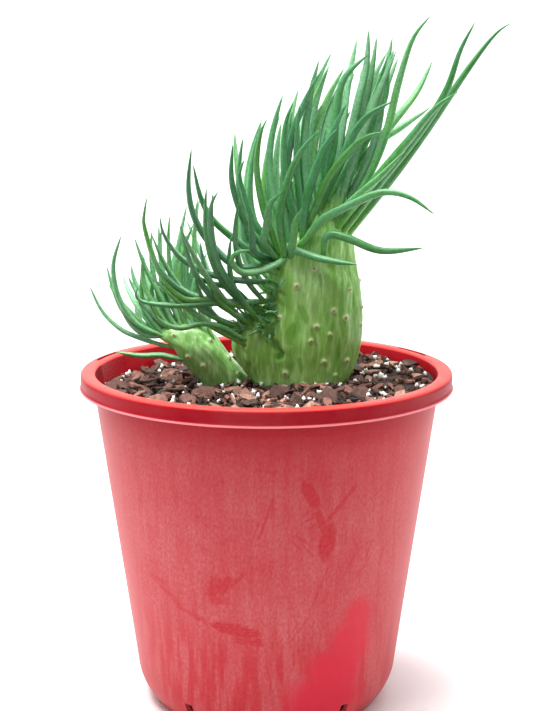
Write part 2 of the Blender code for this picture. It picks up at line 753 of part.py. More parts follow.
def grain(points, faces, name, collection):
    bm = bmesh.new()
    verts = [bm.verts.new(point) for point in points]
    for face in faces:
        bm.faces.new([verts[i] for i in face])
    return object_from(bm, name, collection)


def bark_chip(rng, place, collection):
    """A flat splinter of bark with uneven corners."""
    length = rng.uniform(*CHIP_LENGTH)
    size = Vector((length, length * rng.uniform(0.35, 0.65), rng.uniform(0.0016, 0.0030)))
    turn = rng.uniform(0, math.tau)
    tilt = rng.uniform(-0.35, 0.35)
    points = []
    for corner in range(8):
        sign = Vector((corner & 1, corner >> 1 & 1, corner >> 2)) * 2 - Vector((1, 1, 1))
        spread = [0.5 * s * w * rng.uniform(0.6, 1.0) for s, w in zip(sign, size)]
        x, y, z = spread
        z += x * math.tan(tilt)
        turned = (x * math.cos(turn) - y * math.sin(turn), x * math.sin(turn) + y * math.cos(turn), z + 0.0006)
        points.append(place + Vector(turned))
    points = keep_inside(points, place.z)
    faces = ((0, 1, 3, 2), (4, 5, 7, 6), (0, 1, 5, 4), (2, 3, 7, 6), (0, 2, 6, 4), (1, 3, 7, 5))
    grain(points, faces, "bark_chip", collection)


def perlite_grain(rng, place, collection):
    """A small uneven eight-sided grain."""
    radius = rng.uniform(*PERLITE_SIZE)
    centre = place + Vector((0, 0, 0.0012))
    points = []
    for axis in range(3):
        for sign in (-1, 1):
            arm = Vector((0, 0, 0))
            arm[axis] = sign * radius * rng.uniform(0.8, 1.2)
            points.append(centre + arm)
    points = keep_inside(points, place.z)
    faces = [(a, b, c) for a in (0, 1) for b in (2, 3) for c in (4, 5)]
    grain(points, faces, "perlite", collection)


def make_mix():
    """The mix with its chips and grains joined in, and a plain hole for each stem."""
    rng = random.Random(MIX_SEED)
    mix = mix_body()
    grains = bpy.data.collections.new("grains")
    bpy.context.scene.collection.children.link(grains)
    for i in range(CHIP_COUNT):
        bark_chip(rng, scatter(rng, CHIP_COUNT, i), grains)
    for i in range(PERLITE_COUNT):
        perlite_grain(rng, scatter(rng, PERLITE_COUNT, i), grains)
    apply_boolean(mix, "UNION", "MANIFOLD", collection=grains)
    discard(grains.objects)
    for slices in (COLUMN_LOBE, MIDDLE_LOBE, SIDE_LOBE):
        make_lobe("stem_hole", slices, grains, GAP)
    apply_boolean(mix, "DIFFERENCE", "MANIFOLD", collection=grains)
    discard(grains.objects)
    bpy.data.collections.remove(grains)
    keep_outer_shell(mix)
    mix.data.materials.append(material("bark_mix", (0.16, 0.09, 0.07), 0.9))
    return mix


clear_scene()
make_pot()
make_mix()
make_crest("main_crest", (COLUMN_LOBE, MIDDLE_LOBE), main_leaf_paths(), (0.20, 0.42, 0.14))
make_crest("side_crest", (SIDE_LOBE,), side_leaf_paths(), (0.22, 0.45, 0.16))
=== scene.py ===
import math
import random

import bmesh
import bpy
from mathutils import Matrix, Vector, noise
from mathutils.bvhtree import BVHTree


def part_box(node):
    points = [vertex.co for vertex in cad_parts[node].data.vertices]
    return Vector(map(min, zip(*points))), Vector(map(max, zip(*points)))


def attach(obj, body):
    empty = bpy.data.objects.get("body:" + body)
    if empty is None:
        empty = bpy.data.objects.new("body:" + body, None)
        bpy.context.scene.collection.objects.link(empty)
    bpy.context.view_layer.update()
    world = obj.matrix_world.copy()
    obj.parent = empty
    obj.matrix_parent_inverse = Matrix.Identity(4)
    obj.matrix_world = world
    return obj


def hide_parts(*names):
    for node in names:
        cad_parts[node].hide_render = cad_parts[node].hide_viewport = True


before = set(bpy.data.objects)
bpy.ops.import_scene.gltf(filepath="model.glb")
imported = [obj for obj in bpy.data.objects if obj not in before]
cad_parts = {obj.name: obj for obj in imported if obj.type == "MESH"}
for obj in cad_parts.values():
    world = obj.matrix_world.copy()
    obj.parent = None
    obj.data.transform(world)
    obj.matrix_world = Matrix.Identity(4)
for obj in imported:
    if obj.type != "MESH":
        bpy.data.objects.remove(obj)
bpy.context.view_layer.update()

# Nursery pot
# One moulded shell of red polypropylene: a tapered body on a curved heel, a turned-out rim with a hanging
# skirt, two slots for plant labels in the rim, fine ribs inside behind one of them and drain slots at the foot.
# Water scale and dust have left a pale bloom on it, rubbed off where it was handled.
pot_low, pot_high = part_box("nursery_pot")
POT_HEIGHT = pot_high[2]
RIM_RADIUS = 0.100
FOOT_RADIUS = 0.0635
WALL = 0.0016
BODY_TOP_RADIUS = 0.935 * RIM_RADIUS
SKIRT_HEIGHT = 0.0088
HEEL_HEIGHT = 0.015
HEEL_RADIUS = 0.700 * RIM_RADIUS
BEAD = 0.0004
LABEL_SLOT_ANGLES = (159.0, 29.5)
LABEL_SLOT_HALF_ANGLE = 8.0
DRAIN_SLOTS = 5
DRAIN_FIRST_ANGLE = 234.0
DRAIN_WIDTH = 0.0050
DRAIN_TOP = 0.0145
POT_STEPS = 320
RIB_PITCH = 0.0011
RIB_HEIGHT = 0.00022
RIB_SECTOR = (150.0, 172.0)
RIB_LOW = 0.160

CLEAN_RED = (0.450, 0.006, 0.014, 1)
# Partly painted sheen: the clean patch low on the right is free of bloom, and its red is painted brighter than the
# clean red as a highlight
WIPED_SHEEN_RED = (0.600, 0.022, 0.045, 1)
# Painted shade: a darker red standing in for the shade on the rim's front band and the shadow cast under the rim
SHADED_RED = (0.340, 0.003, 0.012, 1)
BLOOM_PINK = (0.540, 0.135, 0.140, 1)
# Painted light: the rim's top is painted a brighter coral, as if lit from above
LIT_CORAL = (0.820, 0.060, 0.050, 1)
# Painted highlight: a pale pink line along the rounded lip at the foot of the rim's skirt
HIGHLIGHT_PINK = (0.800, 0.220, 0.240, 1)

# Rubbed places on the body, in millimetres: distance round the wall from the front, height, half width, half
# height, then lean in degrees and how clean the rub is
RUBS = (
    (31, 111, 4.4, 10.6, -10, 1.0),
    (28, 121, 2.0, 8.0, 20, 0.9),
    (22, 137, 3.4, 8.6, 28, 1.0),
    (38, 130, 1.1, 13.0, -43, 0.8),
    (35, 126, 0.8, 9.0, -40, 0.6),
    (21, 154, 0.6, 10.5, -3, 0.6),
    (26, 154, 0.6, 10.0, -14, 0.6),
    (-16, 159, 0.6, 9.0, 52, 0.55),
    (-10, 152, 0.6, 8.0, 62, 0.5),
    (1, 150, 0.7, 9.0, 75, 0.55),
    (-2, 158, 0.5, 11.0, 68, 0.45),
    (0, 126, 0.6, 12.0, -18, 0.7),
    (3, 131, 0.5, 5.0, -12, 0.6),
    (-5, 119, 0.5, 5.0, -20, 0.5),
    (21, 128, 3.0, 0.5, 22, 0.6),
    (22, 124, 3.4, 0.6, 16, 0.6),
    (23, 120, 2.6, 0.5, 26, 0.6),
    (18, 113, 4.0, 0.6, -40, 0.6),
    (15, 110, 3.6, 0.5, -46, 0.5),
    (21, 107, 5.0, 0.6, -50, 0.5),
    (27, 85, 0.7, 13.0, -22, 0.5),
    (18, 65, 0.6, 9.0, -36, 0.5),
    (-27, 86, 2.8, 6.5, -25, 0.7),
    (-21, 88, 2.2, 6.0, -32, 0.8),
    (-15, 91, 1.1, 6.0, -42, 0.7),
    (-24, 79, 5.0, 2.0, 8, 0.6),
    (-16, 63, 13.5, 3.4, -8, 1.0),
    (-9, 57, 7.0, 1.9, -4, 0.9),
    (-62, 84, 6.5, 1.5, -8, 0.6),
    (-55, 78, 8.0, 1.7, -32, 0.6),
    (-40, 69, 10.0, 1.4, -20, 0.7),
    (-62, 47, 1.0, 14.0, 3, 0.4),
    (-46, 58, 1.7, 7.0, 5, 0.5),
    (-5, 42, 0.9, 8.0, 0, 0.4),
    (-12, 48, 0.8, 7.0, 0, 0.4),
    (6, 50, 0.8, 6.0, 0, 0.4),
    (14, 170, 40.0, 2.4, 0, 0.9),
    (46, 167, 24.0, 6.0, 0, 0.7),
    (12, 163, 12.0, 5.0, 20, 0.5),
    (-36, 169, 22.0, 2.0, 0, 0.6),
    (62, 134, 5.0, 0.6, 35, 0.6),
    (58, 139, 0.6, 5.0, 10, 0.5),
    (66, 128, 4.0, 0.5, 50, 0.5),
    (44, 96, 0.6, 7.0, -30, 0.5),
    (52, 92, 0.5, 6.0, -42, 0.5),
    (47, 108, 0.6, 5.0, 24, 0.45),
    (56, 102, 0.5, 6.0, -20, 0.5),
    (66, 96, 1.2, 6.0, -10, 0.5),
    (50, 147, 0.5, 7.0, -55, 0.5),
    (43, 142, 0.6, 7.0, 22, 0.45),
    (-33, 122, 0.4, 6.0, 48, 0.4),
    (-45, 133, 0.5, 5.0, 66, 0.4),
    (-24, 142, 0.4, 7.0, 80, 0.45),
    (-6, 158, 7.0, 0.5, 12, 0.5),
    (-14, 162, 9.0, 0.5, 6, 0.5),
    (4, 145, 8.0, 0.5, -4, 0.5),
    (-30, 165, 12.0, 0.6, -4, 0.6),
    (-44, 160, 9.0, 0.5, 4, 0.5),
    (-61, 165, 11.0, 0.5, 2, 0.6),
    (-58, 162, 9.0, 0.5, -3, 0.6),
    (190, 100, 8.0, 26.0, 14, 0.6),
    (-200, 70, 18.0, 10.0, -20, 0.7),
    (-150, 128, 7.0, 22.0, 20, 0.6),
    (235, 50, 20.0, 14.0, 0, 0.7),
)
# One broad patch low on the right, rubbed clean to a shine, given the same way; its red is also painted brighter
# there, a painted sheen
WIPED_SHEEN = (
    (51, 64, 9.0, 12.0, 0, 0.8),
    (46, 48, 13.0, 17.0, -4, 0.9),
    (38, 36, 17.0, 13.0, -16, 1.0),
    (32, 20, 22.0, 17.0, 0, 1.0),
)


def node_material(name):
    made = bpy.data.materials.new(name)
    made.use_nodes = True
    tree = made.node_tree
    return made, tree, tree.nodes["Principled BSDF"]


def add(tree, kind, **values):
    """Adds a shader node and sets its options."""
    node = tree.nodes.new(kind)
    for key, value in values.items():
        setattr(node, key, value)
    return node


def noise_at(tree, place, scale, detail=4.0, rough=0.55, stretch=None):
    """Noise over the object's own coordinates, drawn out along an axis where stretch is given."""
    if stretch:
        mapping = add(tree, "ShaderNodeMapping")
        mapping.inputs["Scale"].default_value = stretch
        tree.links.new(place, mapping.inputs["Vector"])
        place = mapping.outputs["Vector"]
    node = add(tree, "ShaderNodeTexNoise")
    node.inputs["Scale"].default_value = scale
    node.inputs["Detail"].default_value = detail
    node.inputs["Roughness"].default_value = rough
    tree.links.new(place, node.inputs["Vector"])
    return node.outputs["Fac"]


def ramp(tree, source, *stops):
    """Maps a value through (position, grey or colour) stops."""
    node = add(tree, "ShaderNodeValToRGB")
    while len(node.color_ramp.elements) < len(stops):
        node.color_ramp.elements.new(0.5)
    for element, (position, colour) in zip(node.color_ramp.elements, stops):
        element.position = position
        element.color = colour if isinstance(colour, tuple) else (colour, colour, colour, 1)
    tree.links.new(source, node.inputs["Fac"])
    return node.outputs["Color"]


def plug(tree, value, socket):
    """Sets a socket to a number or colour, or links an output to it."""
    if isinstance(value, bpy.types.NodeSocket):
        tree.links.new(value, socket)
    else:
        socket.default_value = value


def blend(tree, amount, first, second, mode="MIX"):
    """Mixes two colours by an amount."""
    node = add(tree, "ShaderNodeMix", data_type="RGBA", blend_type=mode)
    plug(tree, amount, node.inputs[0])
    plug(tree, first, node.inputs[6])
    plug(tree, second, node.inputs[7])
    return node.outputs[2]


def sums(tree, operation, first, second):
    node = add(tree, "ShaderNodeMath", operation=operation)
    plug(tree, first, node.inputs[0])
    plug(tree, second, node.inputs[1])
    return node.outputs["Value"]


def bump(tree, height, strength, distance, shader, under=None):
    node = add(tree, "ShaderNodeBump")
    node.inputs["Strength"].default_value = strength
    node.inputs["Distance"].default_value = distance
    tree.links.new(height, node.inputs["Height"])
    if under:
        tree.links.new(under, node.inputs["Normal"])
    tree.links.new(node.outputs["Normal"], shader.inputs["Normal"])
    return node.outputs["Normal"]


def own_place(tree):
    return add(tree, "ShaderNodeTexCoord").outputs["Object"]


def attribute(tree, name):
    return add(tree, "ShaderNodeAttribute", attribute_name=name).outputs["Fac"]


def give_value(mesh, name, values):
    """Stores one number for each point of a mesh, for its material to read."""
    mesh.attributes.new(name, "FLOAT", "POINT").data.foreach_set("value", values)


def new_piece(name, mesh, material, slot, *nodes):
    """Puts a mesh in the scene as a piece that rides on the part, and stands for the given solids."""
    piece = bpy.data.objects.new(name, mesh)
    bpy.context.scene.collection.objects.link(piece)
    mesh.materials.append(material)
    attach(piece, "root")
    if nodes:
        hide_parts(*nodes)
    return piece


def rubbed_mask(tree, flat, marks, edge):
    """How far the bloom is rubbed off over the given marks. Wide ones are rounded, and narrow ones square-ended."""
    node = add(tree, "ShaderNodeTexNoise")
    node.inputs["Scale"].default_value = 520
    node.inputs["Detail"].default_value = 5
    node.inputs["Roughness"].default_value = 0.75
    tree.links.new(flat, node.inputs["Vector"])
    shift = add(tree, "ShaderNodeVectorMath", operation="MULTIPLY_ADD")
    tree.links.new(node.outputs["Color"], shift.inputs[0])
    shift.inputs[1].default_value = (0.0024, 0.0070, 0)
    shift.inputs[2].default_value = (-0.0012, -0.0035, 0)
    ragged = add(tree, "ShaderNodeVectorMath", operation="ADD")
    tree.links.new(flat, ragged.inputs[0])
    tree.links.new(shift.outputs["Vector"], ragged.inputs[1])
    even = add(tree, "ShaderNodeMix", data_type="VECTOR")
    even.inputs["Factor"].default_value = 0.18
    tree.links.new(flat, even.inputs["A"])
    tree.links.new(ragged.outputs["Vector"], even.inputs["B"])
    total = None
    for arc, height, half_width, half_height, lean, strength in marks:
        local = add(tree, "ShaderNodeMapping", vector_type="TEXTURE")
        local.inputs["Location"].default_value = (arc / 1000, height / 1000, 0)
        local.inputs["Rotation"].default_value = (0, 0, math.radians(lean))
        local.inputs["Scale"].default_value = (half_width / 1000, half_height / 1000, 1)
        thin = min(half_width, half_height) < 1.2
        edges = [out for out in even.outputs if out.enabled and out.type == "VECTOR"][0] if thin else ragged.outputs["Vector"]
        tree.links.new(edges, local.inputs["Vector"])
        if min(half_width, half_height) > 3:
            size = add(tree, "ShaderNodeVectorMath", operation="LENGTH")
            tree.links.new(local.outputs["Vector"], size.inputs[0])
            away = size.outputs["Value"]
        else:
            size = add(tree, "ShaderNodeVectorMath", operation="ABSOLUTE")
            tree.links.new(local.outputs["Vector"], size.inputs[0])
            parts = add(tree, "ShaderNodeSeparateXYZ")
            tree.links.new(size.outputs["Vector"], parts.inputs["Vector"])
            away = sums(tree, "MAXIMUM", parts.outputs["X"], parts.outputs["Y"])
        mask = add(tree, "ShaderNodeMath", operation="MULTIPLY_ADD", use_clamp=True)
        tree.links.new(away, mask.inputs[0])
        mask.inputs[1].default_value = -edge
        mask.inputs[2].default_value = edge * 1.1 + 0.3
        part = sums(tree, "MULTIPLY", mask.outputs["Value"], strength)
        total = part if total is None else sums(tree, "MAXIMUM", total, part)
    return total


def red_plastic():
    made, tree, shader = node_material("red_plastic")
    place = own_place(tree)
    axes = add(tree, "ShaderNodeSeparateXYZ")
    tree.links.new(place, axes.inputs["Vector"])
    flat = add(tree, "ShaderNodeCombineXYZ")
    tree.links.new(attribute(tree, "round_wall"), flat.inputs["X"])
    tree.links.new(axes.outputs["Z"], flat.inputs["Y"])
    flat = flat.outputs["Vector"]
    streaks = noise_at(tree, flat, 240, 5, 0.65, (1, 0.10, 1))
    drips = noise_at(tree, flat, 150, 4, 0.6, (1, 0.12, 1))
    cloud = noise_at(tree, place, 24, 6, 0.68)
    specks = noise_at(tree, flat, 760, 4, 0.7, (1, 0.6, 1))
    brushed = ramp(tree, noise_at(tree, flat, 900, 3, 0.5, (0.5, 1, 1)), (0.30, 0.55), (0.58, 1.0))
    rubbed = blend(tree, 1.0, rubbed_mask(tree, flat, RUBS, 2.6), brushed, "MULTIPLY")
    low = ramp(tree, axes.outputs["Z"], (0.045, 1.0), (0.078, 0.0))
    drips = blend(tree, 1.0, ramp(tree, drips, (0.45, 0.0), (0.56, 0.75)), low, "MULTIPLY")
    rubbed = blend(tree, 1.0, rubbed, drips, "LIGHTEN")
    high = ramp(tree, axes.outputs["Z"], (0.118, 0.0), (0.176, 0.60))
    rubbed = blend(tree, 1.0, rubbed, high, "LIGHTEN")
    veil = blend(tree, 0.5, streaks, cloud)
    veil = ramp(tree, veil, (0.36, 0.40), (0.60, 1.0))
    grains = ramp(tree, specks, (0.36, 0.45), (0.64, 1.0))
    bloom = blend(tree, 1.0, veil, grains, "MULTIPLY")
    bloom = blend(tree, rubbed, bloom, blend(tree, 1.0, grains, (0.16, 0.16, 0.16, 1), "MULTIPLY"))
    body = blend(tree, bloom, CLEAN_RED, BLOOM_PINK)
    wiped_sheen = rubbed_mask(tree, flat, WIPED_SHEEN, 1.6)
    # The clean patch loses its bloom, a real mark, and takes a brighter red, a painted sheen
    body = blend(tree, wiped_sheen, body, WIPED_SHEEN_RED)
    # Painted shadow: the body turns to the shaded red just under the rim, where the rim's shadow falls
    under_rim_shadow = ramp(tree, axes.outputs["Z"], (0.155, 0.0), (0.174, 0.85))
    body = blend(tree, under_rim_shadow, body, SHADED_RED)
    body = blend(tree, attribute(tree, "inside"), body, CLEAN_RED)
    # Painted shade: the rim's band is painted the shaded red, with some real dust bloom over it
    shaded_dusty_band = blend(tree, ramp(tree, cloud, (0.45, 0.0), (0.75, 0.16)), SHADED_RED, BLOOM_PINK)
    body = blend(tree, attribute(tree, "band"), body, shaded_dusty_band)
    # Painted highlight: the lip at the skirt's foot is painted pale pink
    body = blend(tree, attribute(tree, "bead_highlight"), body, HIGHLIGHT_PINK)
    # Painted light: the top of the rim gets the brighter lit coral
    body = blend(tree, attribute(tree, "rim_top"), body, LIT_CORAL)
    bloom = blend(tree, wiped_sheen, bloom, (0, 0, 0, 1))
    tree.links.new(body, shader.inputs["Base Color"])
    tree.links.new(ramp(tree, bloom, (0.0, 0.32), (1.0, 0.62)), shader.inputs["Roughness"])
    shader.inputs["Specular IOR Level"].default_value = 0.12
    bump(tree, sums(tree, "ADD", specks, streaks), 0.12, 0.0006, shader)
    return made


def stretch_between(first, last, count):
    return [
        (first[0] + (last[0] - first[0]) * i / count, first[1] + (last[1] - first[1]) * i / count)
        for i in range(count)
    ]


def pot_profile():
    """Closed half section, from the axis under the floor round the outside, over the rim and back inside."""
    heel = []
    for i in range(9):
        t = i / 8
        heel.append(
            (
                FOOT_RADIUS + (HEEL_RADIUS - FOOT_RADIUS) * math.sin(t * math.pi / 2) ** 0.9 + 0.0014 * t,
                0.0032 + (HEEL_HEIGHT + 0.0065 - 0.0032) * t**1.1,
            )
        )
    body_low = (HEEL_RADIUS + 0.0014, HEEL_HEIGHT + 0.0065)
    rim_root = POT_HEIGHT - 2 * WALL
    skirt_foot = POT_HEIGHT - SKIRT_HEIGHT
    outside = [(0.0, 0.0), (0.030, 0.0), (FOOT_RADIUS - 0.0035, 0.0), (FOOT_RADIUS - 0.0012, 0.0008)]
    outside += heel[:-1]
    outside += stretch_between(body_low, (BODY_TOP_RADIUS, rim_root), 60)
    rim = [
        (BODY_TOP_RADIUS, rim_root),
        (RIM_RADIUS - WALL - 0.0004, rim_root + 0.0002),
        (RIM_RADIUS - WALL, rim_root - 0.0004),
        (RIM_RADIUS - WALL + 0.0004, skirt_foot + 0.0002),
        (RIM_RADIUS - 0.0007, skirt_foot),
        (RIM_RADIUS + BEAD - 0.0002, skirt_foot + 0.0001),
        (RIM_RADIUS + BEAD, skirt_foot + 0.0005),
        (RIM_RADIUS + BEAD - 0.0002, skirt_foot + 0.0010),
        (RIM_RADIUS - 0.0001, skirt_foot + 0.0014),
        (RIM_RADIUS - 0.0003, skirt_foot + 0.0030),
        (RIM_RADIUS - 0.0002, POT_HEIGHT - 0.0024),
        (RIM_RADIUS - 0.0003, POT_HEIGHT - 0.0011),
        (RIM_RADIUS - 0.0008, POT_HEIGHT - 0.0003),
        (RIM_RADIUS - 0.0016, POT_HEIGHT),
        (BODY_TOP_RADIUS + 0.0010, POT_HEIGHT),
        (BODY_TOP_RADIUS - 0.0006, POT_HEIGHT - 0.0002),
        (BODY_TOP_RADIUS - WALL + 0.0002, POT_HEIGHT - 0.0008),
    ]
    inner_low = (HEEL_RADIUS - WALL + 0.0014, HEEL_HEIGHT + 0.0065)
    inner_top = (BODY_TOP_RADIUS - WALL, POT_HEIGHT - 0.0014)
    share = (RIB_LOW - inner_low[1]) / (inner_top[1] - inner_low[1])
    rib_foot = (inner_low[0] + (inner_top[0] - inner_low[0]) * share, RIB_LOW)
    inside = stretch_between(inner_top, rib_foot, 76) + stretch_between(rib_foot, inner_low, 6)
    inside += [
        inner_low,
        (HEEL_RADIUS - WALL, HEEL_HEIGHT),
        (FOOT_RADIUS - WALL - 0.0005, 0.0045),
        (FOOT_RADIUS - WALL - 0.0035, 2 * WALL),
        (0.0, 2 * WALL),
    ]
    return outside, rim, inside


def pot_mesh():
    """Turns the half section round, with the ribs raised in their sector, and marks its points' finishes."""
    outside, rim, inside = pot_profile()
    profile = outside + rim + inside
    bm = bmesh.new()
    round_wall = bm.verts.layers.float.new("round_wall")
    rim_top = bm.verts.layers.float.new("rim_top")
    band = bm.verts.layers.float.new("band")
    bead_highlight = bm.verts.layers.float.new("bead_highlight")
    within = bm.verts.layers.float.new("inside")
    columns = []
    ends = [bm.verts.new((0, 0, profile[0][1])), bm.verts.new((0, 0, profile[-1][1]))]
    ends[1][within] = 1.0
    for j in range(POT_STEPS):
        degrees = 360 * j / POT_STEPS
        c, s = math.cos(math.radians(degrees)), math.sin(math.radians(degrees))
        column = [ends[0]]
        for k, (radius, z) in enumerate(profile[1:-1], 1):
            in_sector = RIB_SECTOR[0] < degrees < RIB_SECTOR[1]
            inner = k >= len(outside) + len(rim)
            if inner and in_sector and z > RIB_LOW:
                radius -= RIB_HEIGHT * (1.2 + math.sin(math.tau * z / RIB_PITCH))
            vert = bm.verts.new((radius * c, radius * s, z))
            vert[round_wall] = math.atan2(c, -s) * radius
            if inner:
                vert[within] = 1.0
            elif k >= len(outside):
                vert[band] = 1.0
                # The lip's outermost points are marked for the painted highlight line
                vert[bead_highlight] = 1.0 if radius > RIM_RADIUS else 0.0
                vert[rim_top] = 1.0 if z > POT_HEIGHT - 0.0009 else 0.0
            column.append(vert)
        column.append(ends[1])
        columns.append(column)
    for j, column in enumerate(columns):
        after = columns[(j + 1) % POT_STEPS]
        for k in range(len(profile) - 1):
            corners = []
            for vert in (column[k], after[k], after[k + 1], column[k + 1]):
                if vert not in corners:
                    corners.append(vert)
            bm.faces.new(corners)
    bmesh.ops.triangulate(bm, faces=bm.faces)
    bmesh.ops.recalc_face_normals(bm, faces=bm.faces)
    mesh = bpy.data.meshes.new("nursery_pot_shell")
    bm.to_mesh(mesh)
    bm.free()
    return mesh


def curved_bar(inner, outer, low, high, middle, half_angle):
    """A short bar bent round the pot's axis, to cut a slot with."""
    bm = bmesh.new()
    rings = []
    for i in range(9):
        turn = math.radians(middle + half_angle * (i / 4 - 1))
        corners = ((inner, low), (outer, low), (outer, high), (inner, high))
        rings.append([bm.verts.new((r * math.cos(turn), r * math.sin(turn), z)) for r, z in corners])
    for first, second in zip(rings, rings[1:]):
        for i in range(4):
            bm.faces.new((first[i], first[(i + 1) % 4], second[(i + 1) % 4], second[i]))
    bm.faces.new(rings[0])
    bm.faces.new(rings[-1])
    bmesh.ops.triangulate(bm, faces=bm.faces)
    bmesh.ops.recalc_face_normals(bm, faces=bm.faces)
    mesh = bpy.data.meshes.new("slot_cutter")
    bm.to_mesh(mesh)
    bm.free()
    cutter = bpy.data.objects.new("slot_cutter", mesh)
    bpy.context.scene.collection.objects.link(cutter)
    return cutter


def cut_out(piece, cutter):
    """Cuts one object from a piece and throws the cutter away."""
    modifier = piece.modifiers.new("cut", "BOOLEAN")
    modifier.operation = "DIFFERENCE"
    modifier.solver = "MANIFOLD"
    modifier.object = cutter
    graph = bpy.context.evaluated_depsgraph_get()
    mesh = bpy.data.meshes.new_from_object(piece.evaluated_get(graph))
    piece.modifiers.remove(modifier)
    piece.data = mesh
    bpy.data.objects.remove(cutter, do_unlink=True)


pot = new_piece("nursery_pot_shell", pot_mesh(), red_plastic(), "pot", "nursery_pot")
slot_radius = (RIM_RADIUS + BODY_TOP_RADIUS) / 2 - 0.0006
for angle in LABEL_SLOT_ANGLES:
    cut_out(
        pot,
        curved_bar(
            slot_radius - 0.0010, slot_radius + 0.0010, POT_HEIGHT - 0.006, POT_HEIGHT + 0.002, angle, LABEL_SLOT_HALF_ANGLE
        ),
    )
for i in range(DRAIN_SLOTS):
    angle = DRAIN_FIRST_ANGLE + i * 360 / DRAIN_SLOTS
    half_angle = math.degrees(DRAIN_WIDTH / 2 / HEEL_RADIUS)
    cut_out(pot, curved_bar(FOOT_RADIUS - 0.008, HEEL_RADIUS + 0.004, -0.002, DRAIN_TOP, angle, half_angle))
pot.data.shade_smooth()
pot.data.set_sharp_from_angle(angle=math.radians(38))

# Potting mix
# A dark crumbly bed filling the pot almost to the rim, higher on the right than on the left. It is composted
# bark with loose chips of pine bark and puffed white perlite lying on top.
MIX_DROP_LEFT = 0.0125
MIX_DROP_RIGHT = 0.0035
BED_RINGS = 46
BED_STEPS = 200
CHIP_COUNT = 430
CRUMB_COUNT = 1100
PERLITE_COUNT = 150
MIX_SEED = 3


def wall_radius(z):
    """Radius of the pot's inner wall at a height."""
    low = HEEL_HEIGHT + 0.0065
    start = HEEL_RADIUS - WALL + 0.0014
    return start + (BODY_TOP_RADIUS - WALL - start) * max(0.0, (z - low) / (POT_HEIGHT - 0.0009 - low))


def mix_level(x, y):
    share = (x / RIM_RADIUS + 1) / 2
    drop = MIX_DROP_LEFT + (MIX_DROP_RIGHT - MIX_DROP_LEFT) * share
    waves = math.sin(95 * x + 0.7) * math.cos(83 * y - 0.4)
    return POT_HEIGHT - drop + 0.0008 * waves


def bed_mesh():
    """The bed's rough top and its plain sides down to the pot's floor."""
    bm = bmesh.new()
    rows = []
    floor = 2 * WALL + 0.0003
    for radius, z in ((FOOT_RADIUS - WALL - 0.0042, floor), (HEEL_RADIUS - WALL - 0.0006, HEEL_HEIGHT + 0.0003)):
        rows.append(
            [
                bm.verts.new((radius * math.cos(math.tau * j / BED_STEPS), radius * math.sin(math.tau * j / BED_STEPS), z))
                for j in range(BED_STEPS)
            ]
        )
    for k in range(BED_RINGS):
        row = []
        for j in range(BED_STEPS):
            turn = math.tau * j / BED_STEPS
            edge = 0.0898
            radius = edge * (1 - k / BED_RINGS)
            x, y = radius * math.cos(turn), radius * math.sin(turn)
            z = mix_level(x, y) - 0.0012
            if k:
                z += 0.0016 * noise.fractal(Vector((x, y, 0)) * 260, 0.6, 2.1, 4)
            row.append(bm.verts.new((x, y, z)))
        rows.append(row)
    for low, high in zip(rows, rows[1:]):
        for j in range(BED_STEPS):
            bm.faces.new((low[j], low[(j + 1) % BED_STEPS], high[(j + 1) % BED_STEPS], high[j]))
    bm.faces.new(rows[0])
    bm.faces.new(rows[-1])
    bmesh.ops.recalc_face_normals(bm, faces=bm.faces)
    mesh = bpy.data.meshes.new("mix_bed")
    bm.to_mesh(mesh)
    bm.free()
    return mesh


def bed_material():
    made, tree, shader = node_material("dark_compost")
    place = own_place(tree)
    grains = noise_at(tree, place, 520, 5, 0.7)
    tone = ramp(tree, grains, (0.3, (0.008, 0.005, 0.004, 1)), (0.55, (0.035, 0.020, 0.014, 1)), (0.75, (0.10, 0.055, 0.036, 1)))
    tree.links.new(tone, shader.inputs["Base Color"])
    shader.inputs["Roughness"].default_value = 0.95
    bump(tree, grains, 0.9, 0.0012, shader)
    return made


def spot(rng, count, i, reach=0.0885):
    """An even spread of places over the bed, each a little off."""
    radius = reach * math.sqrt((i + 0.5) / count)
    turn = math.radians(137.508 * i + rng.uniform(-20, 20))
    x, y = radius * math.cos(turn), radius * math.sin(turn)
    return Vector((x, y, mix_level(x, y)))


def settle(points, low_side):
    """Draws loose points back from the pot's wall."""
    reach = max(math.hypot(point.x, point.y) for point in points)
    room = wall_radius(low_side) - 0.0010
    if reach > room:
        middle = sum(points, Vector()) / len(points)
        back = Vector((middle.x, middle.y, 0)).normalized() * (reach - room)
        points = [point - back for point in points]
    return points


def bark_chip(rng, middle, length):
    """A split flake of bark: an uneven flat piece, rough on both faces and torn at its ends."""
    sides = rng.randint(5, 7)
    width = length * (rng.uniform(0.45, 0.85) if rng.random() < 0.72 else rng.uniform(0.16, 0.34))
    thick = rng.uniform(0.0008, 0.0019)
    turn = rng.uniform(0, math.tau)
    across = Vector((math.cos(turn), math.sin(turn), 0))
    tilt = Vector((rng.gauss(0, 0.42), rng.gauss(-0.14, 0.42), 1)).normalized()
    along = (across - tilt * across.dot(tilt)).normalized()
    beside = tilt.cross(along)
    seed = Vector((rng.uniform(0, 50), rng.uniform(0, 50), rng.uniform(0, 50)))
    outline = []
    for i in range(sides):
        angle = math.tau * (i + rng.uniform(-0.28, 0.28)) / sides
        reach = rng.uniform(0.75, 1.05)
        outline.append((math.cos(angle) * reach * length / 2, math.sin(angle) * reach * width / 2))
    rings = []
    for height, share in ((-0.5, 0.88), (-0.35, 1.0), (0.30, 1.0), (0.5, 0.93), (0.54, 0.55)):
        ring = []
        for i in range(sides * 2):
            a, b = outline[i // 2], outline[(i // 2 + 1) % sides]
            u, v = (a if i % 2 == 0 else ((a[0] + b[0]) / 2, (a[1] + b[1]) / 2))
            point = along * u * share + beside * v * share + tilt * height * thick
            point += noise.noise_vector(point * 520 + seed) * 0.00040
            ring.append(middle + point)
        rings.append(ring)
    return rings


